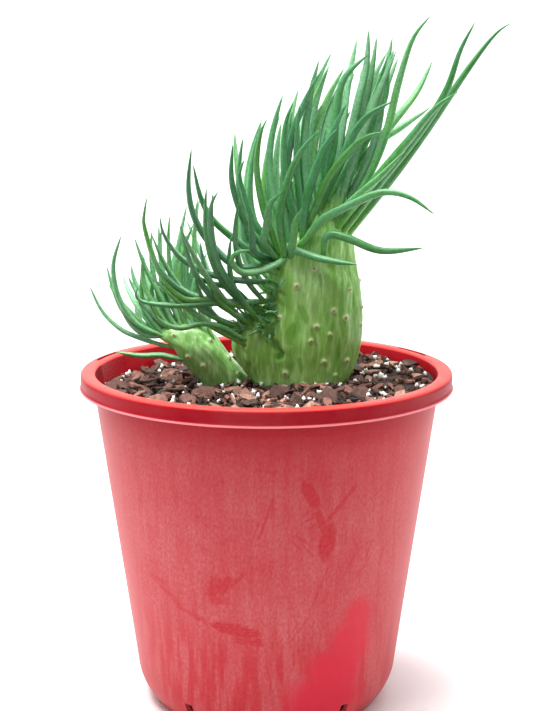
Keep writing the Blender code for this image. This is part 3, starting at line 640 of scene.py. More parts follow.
def grain_rings(middle, radius, seed, rough):
    """A small lumpy grain as stacked rings."""
    rings = []
    for i in range(5):
        polar = math.pi * (i + 0.6) / 5.2
        ring = []
        for j in range(7):
            turn = math.tau * j / 7
            out = Vector((math.sin(polar) * math.cos(turn), math.sin(polar) * math.sin(turn), math.cos(polar)))
            out *= radius * (1 + rough * noise.noise(out * 1.7 + seed))
            ring.append(middle + out)
        rings.append(ring)
    return rings


def skin(bm, rings, layer, value):
    """Joins stacked rings of points into one closed lump and marks its points."""
    rows = []
    for ring in rings:
        row = [bm.verts.new(point) for point in ring]
        for vert in row:
            vert[layer] = value
        rows.append(row)
    count = len(rows[0])
    for low, high in zip(rows, rows[1:]):
        for j in range(count):
            bm.faces.new((low[j], low[(j + 1) % count], high[(j + 1) % count], high[j]))
    bm.faces.new(rows[0])
    bm.faces.new(rows[-1])


def lumps_mesh(name, all_rings, tints):
    bm = bmesh.new()
    layer = bm.verts.layers.float.new("tint")
    for rings, tint in zip(all_rings, tints):
        skin(bm, rings, layer, tint)
    bmesh.ops.recalc_face_normals(bm, faces=bm.faces)
    mesh = bpy.data.meshes.new(name)
    bm.to_mesh(mesh)
    bm.free()
    return mesh


def bark_material():
    made, tree, shader = node_material("pine_bark")
    place = own_place(tree)
    tint = attribute(tree, "tint")
    fibres = noise_at(tree, place, 340, 5, 0.7, (1, 0.35, 1))
    flakes = noise_at(tree, place, 130, 4, 0.6)
    tone = ramp(
        tree,
        tint,
        (0.0, (0.020, 0.010, 0.008, 1)),
        (0.35, (0.105, 0.045, 0.032, 1)),
        (0.7, (0.250, 0.110, 0.080, 1)),
        (1.0, (0.400, 0.220, 0.160, 1)),
    )
    shade = ramp(tree, fibres, (0.30, 0.38), (0.66, 1.35))
    tone = blend(tree, 1.0, tone, shade, "MULTIPLY")
    tone = blend(tree, ramp(tree, flakes, (0.55, 0.0), (0.75, 0.5)), tone, (0.26, 0.17, 0.13, 1))
    tree.links.new(tone, shader.inputs["Base Color"])
    shader.inputs["Roughness"].default_value = 0.82
    bump(tree, fibres, 0.7, 0.0008, shader)
    return made


def perlite_material():
    made, tree, shader = node_material("white_perlite")
    place = own_place(tree)
    pores = noise_at(tree, place, 900, 4, 0.7)
    tone = ramp(tree, pores, (0.30, (0.50, 0.46, 0.42, 1)), (0.52, (0.86, 0.84, 0.80, 1)), (0.75, (0.95, 0.94, 0.92, 1)))
    tree.links.new(tone, shader.inputs["Base Color"])
    shader.inputs["Roughness"].default_value = 0.8
    bump(tree, pores, 0.6, 0.0004, shader)
    return made


bed = new_piece("mix_bed", bed_mesh(), bed_material(), "mix", "potting_mix")
rng = random.Random(MIX_SEED)
chips, chip_tints = [], []
for i in range(CHIP_COUNT):
    middle = spot(rng, CHIP_COUNT, i)
    heaped = max(0.0, 1 - math.hypot(middle.x + 0.066, middle.y + 0.010) / 0.030)
    length = rng.uniform(0.0050, 0.0120) + 0.005 * (rng.random() < 0.16) + 0.005 * heaped
    middle.z += rng.uniform(-0.0006, 0.0016) + 0.0050 * heaped * rng.random()
    rings = bark_chip(rng, middle, length)
    flat = settle([point for ring in rings for point in ring], middle.z - 0.004)
    count = len(rings[0])
    chips.append([flat[k * count : (k + 1) * count] for k in range(len(rings))])
    chip_tints.append(min(1.0, max(0.0, rng.gauss(0.44, 0.32))))
chip_piece = new_piece("bark_chips", lumps_mesh("bark_chips", chips, chip_tints), bark_material(), "mix")
crumbs, crumb_tints = [], []
for i in range(CRUMB_COUNT):
    middle = spot(rng, CRUMB_COUNT, i, 0.0875)
    middle.z += rng.uniform(-0.0010, 0.0008)
    seed = Vector((i * 1.7, 0, 0))
    crumbs.append(grain_rings(middle, rng.uniform(0.0005, 0.0013), seed, 0.9))
    crumb_tints.append(rng.uniform(0.0, 0.55))
new_piece("bark_crumbs", lumps_mesh("bark_crumbs", crumbs, crumb_tints), chip_piece.data.materials[0], "mix")
grains, grain_tints = [], []
for i in range(PERLITE_COUNT):
    middle = spot(rng, PERLITE_COUNT, i, 0.0870)
    radius = rng.uniform(0.0006, 0.0015) + 0.0006 * (rng.random() < 0.12)
    middle.z += rng.uniform(0.0002, 0.0018)
    grains.append(grain_rings(middle, radius, Vector((0, i * 2.3, 0)), 1.3))
    grain_tints.append(rng.random())
perlite = new_piece("perlite_grains", lumps_mesh("perlite_grains", grains, grain_tints), perlite_material(), "mix")
perlite.data.shade_smooth()

# Main crested stem
# A stem that has grown out sideways into a thick fan, as crested plants do: one broad column and a lower lobe
# beside it, joined below a crease. Its waxy pale green skin is ribbed lengthwise and streaked with darker
# green, and each fallen leaf has left a small raised scar.
COLUMN_LOBE = (
    (0.150, 0.004, 0.040, 0.000, 0.0125),
    (0.174, 0.000, 0.043, 0.000, 0.0140),
    (0.186, -0.003, 0.0480, 0.000, 0.0155),
    (0.200, -0.003, 0.0512, 0.000, 0.0165),
    (0.216, -0.001, 0.0518, 0.001, 0.0165),
    (0.230, 0.000, 0.0502, 0.001, 0.0160),
    (0.240, 0.002, 0.0475, 0.002, 0.0150),
    (0.250, 0.009, 0.0460, 0.002, 0.0140),
    (0.262, 0.019, 0.0450, 0.003, 0.0120),
    (0.274, 0.028, 0.0440, 0.003, 0.0095),
    (0.284, 0.035, 0.0430, 0.004, 0.0050),
)
MIDDLE_LOBE = (
    (0.150, -0.005, 0.020, 0.001, 0.0110),
    (0.174, -0.0075, 0.022, 0.001, 0.0125),
    (0.182, -0.0120, 0.022, 0.001, 0.0135),
    (0.192, -0.0180, 0.022, 0.000, 0.0140),
    (0.202, -0.0180, 0.020, 0.000, 0.0135),
    (0.210, -0.0140, 0.014, 0.000, 0.0120),
    (0.218, -0.0070, 0.006, 0.001, 0.0070),
)
# Scars seen from the front, as (x, z); more are spread over the back and the edges
FRONT_SCARS = (
    (0.0440, 0.2275), (0.0355, 0.2170), (0.0415, 0.2130), (0.0265, 0.2085), (0.0335, 0.2045), (0.0235, 0.2010),
    (0.0425, 0.1895), (0.0305, 0.1895), (0.0365, 0.1820), (0.0070, 0.2130), (0.0160, 0.2300), (0.0500, 0.2310),
    (0.0502, 0.2175), (0.0500, 0.2080), (0.0200, 0.1770), (0.0100, 0.1830), (0.0250, 0.2390), (0.0390, 0.2430),
)
# Darker green ovals on the front of the skin, as (x, z, half width, half height, lean in degrees)
FRONT_PATCHES = (
    (0.0194, 0.2154, 0.0022, 0.0058, 24),
    (0.0068, 0.2220, 0.0014, 0.0046, 42),
    (0.0084, 0.2262, 0.0012, 0.0026, 60),
    (0.0040, 0.2080, 0.0012, 0.0020, 30),
    (-0.0037, 0.2040, 0.0014, 0.0052, 32),
    (-0.0075, 0.2100, 0.0010, 0.0030, 40),
    (0.0126, 0.2040, 0.0028, 0.0070, -14),
    (0.0250, 0.2030, 0.0012, 0.0060, 12),
    (0.0060, 0.1930, 0.0012, 0.0050, 22),
    (0.0180, 0.1880, 0.0014, 0.0050, 8),
    (-0.0120, 0.1960, 0.0010, 0.0042, 28),
    (0.0285, 0.2330, 0.0010, 0.0040, 6),
    (0.0380, 0.1960, 0.0010, 0.0060, -4),
)
# The crease where the column and the lower lobe meet, as (x, z) down the front
CREASE = ((0.0015, 0.2410), (0.0015, 0.2215), (-0.0012, 0.2115), (0.0010, 0.2040), (0.0048, 0.1985), (0.0080, 0.1915))
CREASE_DEPTH = 0.0018
CREASE_WIDTH = 0.0015
FUSE_SIZE = 0.0007
SCAR_RADIUS = 0.0012
SCAR_HEIGHT = 0.0014
STEM_SEED = 21


def between(slices, z):
    """A slice of a lobe at any height, on smooth lines through the given ones."""
    heights = [values[0] for values in slices]
    k = max(0, min(len(slices) - 2, sum(1 for h in heights if h <= z) - 1))
    t = (z - heights[k]) / (heights[k + 1] - heights[k])
    picks = [slices[max(k - 1, 0)], slices[k], slices[k + 1], slices[min(k + 2, len(slices) - 1)]]
    result = []
    for a, b, c, d in zip(*[values[1:] for values in picks]):
        result.append((b * 2 + (c - a) * t + (a * 2 - b * 5 + c * 4 - d) * t * t + (b * 3 - a - c * 3 + d) * t**3) / 2)
    return result


def add_lobe(bm, slices, steps=64, rows=70):
    low, high = slices[0][0], slices[-1][0]
    layers = []
    for k in range(rows + 1):
        z = low + (high - low) * k / rows
        left, right, middle, half_depth = between(slices, z)
        centre, half_width = (left + right) / 2, (right - left) / 2
        row = []
        for j in range(steps):
            turn = math.tau * j / steps
            c, s = math.cos(turn), math.sin(turn)
            row.append(
                bm.verts.new(
                    (
                        centre + half_width * math.copysign(abs(c) ** 0.85, c),
                        middle + half_depth * math.copysign(abs(s) ** 0.85, s),
                        z,
                    )
                )
            )
        layers.append(row)
    for lower, upper in zip(layers, layers[1:]):
        for j in range(steps):
            bm.faces.new((lower[j], lower[(j + 1) % steps], upper[(j + 1) % steps], upper[j]))
    bm.faces.new(layers[0])
    bm.faces.new(layers[-1])


def grown_together(name, lobes):
    """Melts lobes into one skin with a soft crease where they meet."""
    bm = bmesh.new()
    for slices in lobes:
        add_lobe(bm, slices)
    bmesh.ops.recalc_face_normals(bm, faces=bm.faces)
    mesh = bpy.data.meshes.new(name)
    bm.to_mesh(mesh)
    bm.free()
    helper = bpy.data.objects.new(name + "_helper", mesh)
    bpy.context.scene.collection.objects.link(helper)
    remesh = helper.modifiers.new("fuse", "REMESH")
    remesh.mode = "VOXEL"
    remesh.voxel_size = FUSE_SIZE
    relax = helper.modifiers.new("relax", "SMOOTH")
    relax.iterations = 6
    graph = bpy.context.evaluated_depsgraph_get()
    skin_mesh = bpy.data.meshes.new_from_object(helper.evaluated_get(graph))
    bpy.data.objects.remove(helper, do_unlink=True)
    skin_mesh.name = name
    return skin_mesh


def scar_places(mesh, front, extra, rng, low, high):
    """Points on the skin where leaves have fallen: the given ones on the front, and a seeded spread elsewhere."""
    tree = BVHTree.FromPolygons([v.co for v in mesh.vertices], [p.vertices for p in mesh.polygons])
    places = []
    for x, z in front:
        hit = tree.ray_cast(Vector((x, -0.2, z)), Vector((0, 1, 0)))
        if hit[0]:
            places.append(hit[0])
        else:
            places.append(tree.find_nearest(Vector((x, 0.0, z)))[0])
    for _ in range(extra):
        z = rng.uniform(low, high)
        x = rng.uniform(-0.06, 0.05)
        hit = tree.ray_cast(Vector((x, 0.2, z)), Vector((0, -1, 0)))
        if hit[0] and all((hit[0] - place).length > 0.006 for place in places):
            places.append(hit[0])
    return places


def off_line(x, z, line):
    """Distance in the front plane from a place to a line of points."""
    nearest = 1.0
    for (ax, az), (bx, bz) in zip(line, line[1:]):
        t = ((x - ax) * (bx - ax) + (z - az) * (bz - az)) / ((bx - ax) ** 2 + (bz - az) ** 2)
        t = max(0.0, min(1.0, t))
        nearest = min(nearest, math.hypot(x - ax - t * (bx - ax), z - az - t * (bz - az)))
    return nearest


def weather_skin(mesh, places, lean, patches=(), crease=None):
    """Raises the long ribs and the scars on a stem's skin, sinks its crease, and marks them for its colour; the crease
    mark also darkens the crease as painted shade.
    """
    scar = [0.0] * len(mesh.vertices)
    patch = [0.0] * len(mesh.vertices)
    fold = [0.0] * len(mesh.vertices)
    moves = []
    for vertex in mesh.vertices:
        point = vertex.co
        along = Vector((point.x - lean * (point.z - 0.18), point.y, point.z * 0.22))
        rise = 0.00060 * noise.fractal(along * 170, 0.6, 2.0, 3)
        front = max(0.0, -vertex.normal.y)
        for x, z, half_width, half_height, lean_angle in patches:
            c, s = math.cos(math.radians(lean_angle)), math.sin(math.radians(lean_angle))
            across, up = (point.x - x) * c + (point.z - z) * s, (point.z - z) * c - (point.x - x) * s
            ragged = 1 + 0.35 * noise.noise(point * 500)
            away = math.hypot(across / half_width, up / half_height) * ragged
            patch[vertex.index] = max(patch[vertex.index], front * max(0.0, min(1.0, 2.4 - 2 * away)))
        if crease:
            wander = 0.0012 * noise.noise(Vector((point.z * 260, 0, 3)))
            deep = math.exp(-((off_line(point.x + wander, point.z, crease) / CREASE_WIDTH) ** 2))
            # The crease weight both sinks the skin and darkens it as painted shade
            fold[vertex.index] = deep * min(1.0, 1.6 * front)
            rise -= CREASE_DEPTH * fold[vertex.index]
        rise += 0.0010 * noise.noise(Vector((point.x, point.y, point.z * 0.4)) * 60)
        for k, place in enumerate(places):
            away = (point - place).length
            if away < 3 * SCAR_RADIUS:
                size = SCAR_RADIUS * (0.80 + 0.40 * math.sin(2.4 * k) ** 2)
                near = math.exp(-((away / size) ** 2))
                rise += SCAR_HEIGHT * near
                scar[vertex.index] = max(scar[vertex.index], near)
        moves.append(vertex.normal * rise)
    for vertex, move in zip(mesh.vertices, moves):
        vertex.co += move
    give_value(mesh, "scar", scar)
    give_value(mesh, "patch", patch)
    give_value(mesh, "fold", fold)
    mesh.shade_smooth()


def stem_material(name, pale, streak, lime):
    made, tree, shader = node_material(name)
    place = own_place(tree)
    scar = attribute(tree, "scar")
    long_noise = noise_at(tree, place, 150, 5, 0.65, (1.2, 1.2, 0.14))
    broad = noise_at(tree, place, 26, 3, 0.6, (1, 1, 0.55))
    fine = noise_at(tree, place, 430, 4, 0.6, (1, 1, 0.20))
    tone = blend(tree, ramp(tree, long_noise, (0.42, 0.0), (0.58, 1.0)), pale, streak)
    tone = blend(tree, ramp(tree, broad, (0.48, 0.0), (0.66, 0.8)), tone, lime)
    tone = blend(tree, ramp(tree, fine, (0.35, 0.45), (0.6, 0.0)), tone, (0.10, 0.26, 0.05, 1))
    tone = blend(tree, ramp(tree, fine, (0.56, 0.0), (0.74, 0.5)), tone, (0.62, 0.84, 0.50, 1))
    tone = blend(tree, ramp(tree, attribute(tree, "patch"), (0.2, 0.0), (0.9, 0.70)), tone, (0.110, 0.330, 0.020, 1))
    # Painted shade: the crease is painted darker green, where shade falls in it
    tone = blend(tree, ramp(tree, attribute(tree, "fold"), (0.25, 0.0), (0.9, 0.55)), tone, (0.060, 0.190, 0.030, 1))
    tone = blend(tree, ramp(tree, scar, (0.06, 0.0), (0.30, 0.60)), tone, (0.56, 0.66, 0.36, 1))
    tone = blend(tree, ramp(tree, scar, (0.48, 0.0), (0.72, 0.85)), tone, (0.34, 0.24, 0.120, 1))
    tone = blend(tree, ramp(tree, scar, (0.86, 0.0), (0.96, 0.9)), tone, (0.09, 0.045, 0.025, 1))
    tree.links.new(tone, shader.inputs["Base Color"])
    shader.inputs["Roughness"].default_value = 0.42
    shader.inputs["Subsurface Weight"].default_value = 0.15
    shader.inputs["Subsurface Radius"].default_value = (0.5, 1.0, 0.25)
    shader.inputs["Subsurface Scale"].default_value = 0.003
    bump(tree, sums(tree, "ADD", fine, long_noise), 0.22, 0.0006, shader)
    return made


rng = random.Random(STEM_SEED)
main_skin = grown_together("main_crest_stem", (COLUMN_LOBE, MIDDLE_LOBE))
main_scars = scar_places(main_skin, FRONT_SCARS, 46, rng, 0.180, 0.255)
weather_skin(main_skin, main_scars, 0.06, FRONT_PATCHES, CREASE)
main_stem = new_piece(
    "main_crest_stem",
    main_skin,
    stem_material("main_stem_skin", (0.400, 0.720, 0.240, 1), (0.200, 0.500, 0.070, 1), (0.270, 0.560, 0.080, 1)),
    "plant",
    "main_crest",
)

# Main crest's leaves
# Finger-like succulent leaves packed along the top of the fan, round in section, narrow where they leave the
# stem and drawn to a soft point. They set out sideways and curve up to the light. Wax makes them blue-green.
MAIN_LEAVES = 54
MAIN_SEED = 3
CROWDING = 1.6
LEAF_RADIUS = 0.0021
LEAF_RADIUS_CHANGE = 0.0004
LEAF_SIDES = 12
LEAF_STEPS = 26
ROOT_DEPTH = 0.006
BUD_RADIUS = 0.00065
BUD_STEPS = 8
# Stations along the fan: root (x, z), setting-out angle in degrees, tip (x, z)
MAIN_FAN = (
    ((0.041, 0.272), 76, (0.064, 0.350)),
    ((0.036, 0.276), 90, (0.055, 0.358)),
    ((0.030, 0.268), 104, (0.042, 0.348)),
    ((0.024, 0.259), 116, (0.030, 0.350)),
    ((0.018, 0.251), 124, (0.016, 0.329)),
    ((0.011, 0.243), 130, (0.005, 0.322)),
    ((0.004, 0.236), 136, (-0.008, 0.313)),
    ((-0.002, 0.226), 142, (-0.017, 0.292)),
    ((-0.007, 0.215), 148, (-0.034, 0.284)),
    ((-0.012, 0.209), 156, (-0.050, 0.262)),
    ((-0.016, 0.200), 172, (-0.072, 0.240)),
)
# Leaves that stand out from the rest, each from its root to its tip
MAIN_LONG_LEAVES = {
    "far_right": (
        (0.041, -0.002, 0.252), (0.044, -0.004, 0.257), (0.064, -0.003, 0.283), (0.084, -0.002, 0.311),
        (0.104, -0.001, 0.341), (0.118, 0.001, 0.359), (0.128, 0.002, 0.366),
    ),
    "right_sweep": (
        (0.039, -0.005, 0.255), (0.042, -0.008, 0.260), (0.060, -0.009, 0.285), (0.078, -0.009, 0.308),
        (0.092, -0.010, 0.330), (0.099, -0.011, 0.351), (0.107, -0.012, 0.367),
    ),
    "right_twin": (
        (0.037, -0.006, 0.259), (0.040, -0.010, 0.264), (0.056, -0.012, 0.285), (0.074, -0.014, 0.307),
        (0.086, -0.017, 0.322), (0.098, -0.020, 0.331),
    ),
    "right_thin": (
        (0.033, -0.006, 0.265), (0.039, -0.012, 0.270), (0.050, -0.015, 0.280), (0.059, -0.018, 0.288),
        (0.071, -0.022, 0.301),
    ),
    "tall_right": (
        (0.039, -0.004, 0.265), (0.041, -0.005, 0.268), (0.053, -0.005, 0.286), (0.062, -0.006, 0.309),
        (0.068, -0.007, 0.335), (0.075, -0.007, 0.357), (0.085, -0.008, 0.370),
    ),
    "lime_upper": (
        (0.042, 0.003, 0.282), (0.057, 0.006, 0.302), (0.070, 0.007, 0.318), (0.080, 0.010, 0.331),
        (0.088, 0.012, 0.347),
    ),
    "lime_level": (
        (0.042, 0.004, 0.274), (0.045, 0.006, 0.278), (0.057, 0.009, 0.301), (0.071, 0.012, 0.311),
        (0.088, 0.016, 0.322),
    ),
    "pale_spire": (
        (0.035, 0.001, 0.281), (0.043, 0.001, 0.304), (0.048, 0.001, 0.326), (0.052, 0.002, 0.344),
        (0.053, 0.002, 0.363),
    ),
    "dark_spire": (
        (0.040, 0.003, 0.284), (0.054, 0.005, 0.308), (0.062, 0.006, 0.328), (0.063, 0.007, 0.342),
        (0.066, 0.008, 0.359),
    ),
    "broad_lean": (
        (0.030, -0.003, 0.271), (0.032, -0.004, 0.274), (0.043, -0.004, 0.293), (0.051, -0.005, 0.311),
        (0.057, -0.005, 0.332), (0.063, -0.006, 0.350),
    ),
    "hooked_top": (
        (0.030, 0.003, 0.274), (0.027, -0.004, 0.279), (0.034, -0.005, 0.299), (0.036, -0.006, 0.319),
        (0.040, -0.007, 0.337), (0.053, -0.008, 0.350),
    ),
    "crossing": (
        (0.020, -0.003, 0.258), (0.024, -0.011, 0.267), (0.032, -0.015, 0.286), (0.043, -0.019, 0.301),
        (0.051, -0.024, 0.308), (0.060, -0.031, 0.311),
    ),
    "back_crossing": (
        (0.027, -0.003, 0.267), (0.030, -0.008, 0.276), (0.038, -0.010, 0.293), (0.045, -0.011, 0.309),
        (0.053, -0.014, 0.319), (0.065, -0.016, 0.326),
    ),
    "hooked_right": (
        (0.015, -0.006, 0.248), (0.020, -0.012, 0.254), (0.029, -0.015, 0.265), (0.043, -0.020, 0.273),
        (0.059, -0.025, 0.280), (0.073, -0.030, 0.278), (0.086, -0.036, 0.269),
    ),
    "bent_right": (
        (0.030, -0.009, 0.242), (0.030, -0.014, 0.247), (0.032, -0.017, 0.257), (0.042, -0.021, 0.256),
        (0.059, -0.025, 0.250), (0.081, -0.030, 0.252),
    ),
    "pale_across": (
        (0.014, -0.001, 0.250), (0.012, -0.013, 0.250), (0.024, -0.016, 0.246), (0.035, -0.021, 0.244),
        (0.047, -0.027, 0.243),
    ),
    "inner_broad": (
        (0.019, -0.006, 0.252), (0.019, -0.010, 0.257), (0.020, -0.012, 0.272), (0.025, -0.014, 0.290),
        (0.030, -0.017, 0.303), (0.036, -0.020, 0.312),
    ),
    "inner_long": (
        (0.010, -0.005, 0.242), (0.009, -0.012, 0.250), (0.007, -0.015, 0.268), (0.012, -0.018, 0.288),
        (0.018, -0.022, 0.301), (0.027, -0.026, 0.312),
    ),
    "young_tip": (
        (0.008, 0.001, 0.241), (-0.001, -0.016, 0.252), (0.000, -0.020, 0.262), (0.002, -0.025, 0.274),
        (0.008, -0.031, 0.281),
    ),
    "young_short": (
        (0.008, 0.001, 0.240), (-0.006, -0.016, 0.248), (-0.007, -0.020, 0.255), (-0.008, -0.025, 0.263),
        (-0.009, -0.031, 0.272),
    ),
    "bud_leaf": (
        (0.013, -0.007, 0.242), (0.013, -0.014, 0.249), (0.014, -0.017, 0.256), (0.015, -0.021, 0.264),
        (0.018, -0.027, 0.272),
    ),
    "upright_dark": (
        (0.008, -0.001, 0.241), (0.004, -0.010, 0.254), (-0.002, -0.012, 0.272), (-0.005, -0.013, 0.292),
        (-0.003, -0.016, 0.309), (0.001, -0.018, 0.318),
    ),
    "upright_pair": (
        (0.017, -0.001, 0.255), (0.014, -0.006, 0.267), (0.010, -0.007, 0.284), (0.009, -0.008, 0.299),
        (0.010, -0.009, 0.314), (0.014, -0.010, 0.326),
    ),
    "upright_thin": (
        (0.019, 0.000, 0.258), (0.018, -0.004, 0.272), (0.016, -0.004, 0.292), (0.016, -0.004, 0.309),
        (0.017, -0.004, 0.324),
    ),
    "left_fork": (
        (0.008, -0.002, 0.240), (0.001, -0.014, 0.249), (-0.009, -0.016, 0.260), (-0.015, -0.018, 0.274),
        (-0.018, -0.021, 0.288), (-0.017, -0.024, 0.306),
    ),
    "left_fork_low": (
        (0.007, 0.000, 0.240), (-0.001, -0.010, 0.255), (-0.008, -0.011, 0.267), (-0.012, -0.012, 0.279),
        (-0.014, -0.013, 0.288), (-0.011, -0.014, 0.297),
    ),
    "left_arch": (
        (0.008, -0.001, 0.240), (-0.004, -0.012, 0.240), (-0.017, -0.014, 0.241), (-0.031, -0.016, 0.255),
        (-0.038, -0.019, 0.269), (-0.040, -0.021, 0.284), (-0.038, -0.024, 0.304),
    ),
    "left_arch_low": (
        (-0.004, -0.009, 0.210), (-0.007, -0.014, 0.215), (-0.016, -0.017, 0.227), (-0.025, -0.021, 0.243),
        (-0.029, -0.026, 0.261), (-0.028, -0.031, 0.274), (-0.024, -0.037, 0.282),
    ),
    "left_cross": (
        (0.007, -0.001, 0.236), (-0.003, -0.010, 0.244), (-0.016, -0.012, 0.254), (-0.028, -0.013, 0.265),
        (-0.034, -0.016, 0.277), (-0.038, -0.018, 0.295),
    ),
    "left_long": (
        (0.006, -0.001, 0.231), (-0.006, -0.012, 0.232), (-0.020, -0.014, 0.234), (-0.033, -0.016, 0.238),
        (-0.045, -0.019, 0.246), (-0.053, -0.021, 0.258), (-0.055, -0.024, 0.269),
    ),
    "left_tip": (
        (-0.004, -0.004, 0.216), (-0.013, -0.013, 0.219), (-0.028, -0.014, 0.223), (-0.044, -0.015, 0.224),
        (-0.056, -0.016, 0.238), (-0.063, -0.017, 0.260), (-0.063, -0.019, 0.269), (-0.061, -0.020, 0.279),
    ),
    "left_low": (
        (0.005, 0.000, 0.220), (-0.011, -0.011, 0.221), (-0.028, -0.013, 0.222), (-0.041, -0.014, 0.226),
        (-0.052, -0.017, 0.235), (-0.061, -0.019, 0.249),
    ),
    "level_left": (
        (0.006, -0.001, 0.221), (-0.007, -0.012, 0.221), (-0.028, -0.014, 0.221), (-0.047, -0.016, 0.220),
        (-0.063, -0.019, 0.222), (-0.068, -0.021, 0.226), (-0.066, -0.025, 0.232),
    ),
    "wavy": (
        (-0.009, -0.008, 0.199), (-0.013, -0.012, 0.202), (-0.023, -0.013, 0.208), (-0.034, -0.014, 0.210),
        (-0.046, -0.016, 0.208), (-0.057, -0.017, 0.213), (-0.063, -0.019, 0.226),
    ),
    "curled": (
        (0.013, -0.005, 0.245), (0.004, -0.014, 0.241), (-0.004, -0.016, 0.238), (-0.013, -0.019, 0.238),
        (-0.018, -0.022, 0.244), (-0.015, -0.025, 0.249), (-0.008, -0.029, 0.251),
    ),
    "lower_pair": (
        (-0.005, -0.009, 0.208), (-0.009, -0.012, 0.210), (-0.017, -0.014, 0.215), (-0.025, -0.016, 0.223),
        (-0.028, -0.019, 0.232), (-0.036, -0.022, 0.239),
    ),
    "low_cross": (
        (-0.003, -0.006, 0.214), (-0.007, -0.010, 0.218), (-0.016, -0.011, 0.227), (-0.023, -0.012, 0.230),
        (-0.031, -0.013, 0.232), (-0.039, -0.014, 0.237),
    ),
}


def along(stations, place):
    """Root, setting-out angle and tip at a place from 0 to 1 along a crest."""
    at = place * (len(stations) - 1)
    i = min(int(at), len(stations) - 2)
    mix = at - i
    low, high = stations[i], stations[i + 1]
    root = [a + (b - a) * mix for a, b in zip(low[0], high[0])]
    angle = low[1] + (high[1] - low[1]) * mix
    tip = [a + (b - a) * mix for a, b in zip(low[2], high[2])]
    return root, angle, tip


def leaf_bend(root, start, tip, steps):
    """Points from the sunk root, along the setting-out direction, and round to the tip."""
    elbow = root + start * (tip - root).length * 0.48
    points = [root - start * ROOT_DEPTH]
    for i in range(steps):
        t = i / (steps - 1)
        points.append(root * (1 - t) ** 2 + elbow * 2 * t * (1 - t) + tip * t * t)
    return points


def smooth_path(points, steps):
    """A Catmull-Rom line through points."""
    ends = [points[0] * 2 - points[1], *points, points[-1] * 2 - points[-2]]
    spans = len(points) - 1
    path = []
    for i in range(steps + 1):
        at = i / steps * spans
        k = min(int(at), spans - 1)
        t = at - k
        a, b, c, d = ends[k : k + 4]
        path.append(
            (b * 2 + (c - a) * t + (a * 2 - b * 5 + c * 4 - d) * t * t + (b * 3 - a - c * 3 + d) * t**3) / 2
        )
    return path


def crest_leaf(rng, stations, place, root_depth, tip_depth, reach):
    """One leaf of a crest's rule: root, direction and tip read off the stations, each a little varied."""
    root, angle, tip = along(stations, place)
    base = Vector((root[0], root_depth, root[1]))
    end = Vector((tip[0], tip_depth, tip[1]))
    end = base + (end - base) * reach
    end.x += rng.uniform(-0.007, 0.007)
    turn = math.radians(angle + rng.uniform(-24, 16))
    lean = (tip_depth - root_depth) / 0.05
    start = Vector((math.cos(turn), 0.5 * lean, math.sin(turn))).normalized()
    return leaf_bend(base, start, end, LEAF_STEPS)


def main_leaf_paths():
    """The main crest's leaves: three rows along the fan, of which only the front one passes the side crest."""
    rng = random.Random(MAIN_SEED)
    paths = []
    for i in range(MAIN_LEAVES):
        place = ((i + rng.random()) / MAIN_LEAVES) ** CROWDING
        if place > 0.72:
            depths = rng.uniform(-0.011, -0.008), rng.uniform(-0.038, -0.014)
        elif i % 3 == 0:
            depths = rng.uniform(-0.006, 0.003), rng.uniform(-0.012, 0.010)
        else:
            depths = rng.uniform(0.004, 0.010), rng.uniform(0.012, 0.036)
        reach = 1.03 - 0.5 * rng.random() ** 1.6
        paths.append(crest_leaf(rng, MAIN_FAN, place, *depths, reach))
    for points in MAIN_LONG_LEAVES.values():
        paths.append(smooth_path([Vector(point) for point in points], LEAF_STEPS + 2))
    return paths


def leaf_width(t):
    """Share of a leaf's full radius at a place from its root to its tip."""
    return min(1.0, 0.66 + 1.1 * t) * max(0.0, 1 - t**4.4) ** 0.85


def leaf_radius(root):
    """The leaves are stouter towards the right of the plant."""
    return LEAF_RADIUS + LEAF_RADIUS_CHANGE * max(-1.0, min(1.0, root.x / 0.03))


def leaf_skin(bm, layers, points, tones, radius):
    """One leaf: a tube along its path, a little flat and grooved on the side that faces up."""
    path = smooth_path(points, LEAF_STEPS if radius > 2 * BUD_RADIUS else BUD_STEPS)
    lengths = [0.0]
    for first, second in zip(path, path[1:]):
        lengths.append(lengths[-1] + (second - first).length)
    side = None
    last = None
    for k, middle in enumerate(path):
        t = lengths[k] / lengths[-1]
        if k == 0:
            forward = (path[1] - path[0]).normalized()
            side = forward.cross(Vector((0.15, -0.35, 0.92))).normalized()
        else:
            forward = (path[min(k + 1, len(path) - 1)] - path[k - 1]).normalized()
            side = (side - forward * side.dot(forward)).normalized()
        upper = side.cross(forward)
        width = radius * leaf_width(t)
        if k == len(path) - 1:
            end = bm.verts.new(middle)
            end[layers[0]] = 1.0
            end[layers[2]], end[layers[3]] = tones
            for j in range(LEAF_SIDES):
                bm.faces.new((last[j], last[(j + 1) % LEAF_SIDES], end))
            break
        row = []
        for j in range(LEAF_SIDES):
            turn = math.tau * j / LEAF_SIDES
            c, s = math.cos(turn), math.sin(turn)
            flat = 0.90 if s < 0 else 0.80 - 0.16 * max(0.0, 1 - abs(c) * 2.2)
            point = middle + side * (width * c) + upper * (width * s * flat)
            vert = bm.verts.new(point)
            vert[layers[0]] = t
            # How far each point faces up, for a painted highlight on the upper side
            vert[layers[1]] = max(0.0, s)
            vert[layers[2]], vert[layers[3]] = tones
            row.append(vert)
        if last:
            for j in range(LEAF_SIDES):
                bm.faces.new((last[j], last[(j + 1) % LEAF_SIDES], row[(j + 1) % LEAF_SIDES], row[j]))
        else:
            bm.faces.new(row[::-1])
        last = row


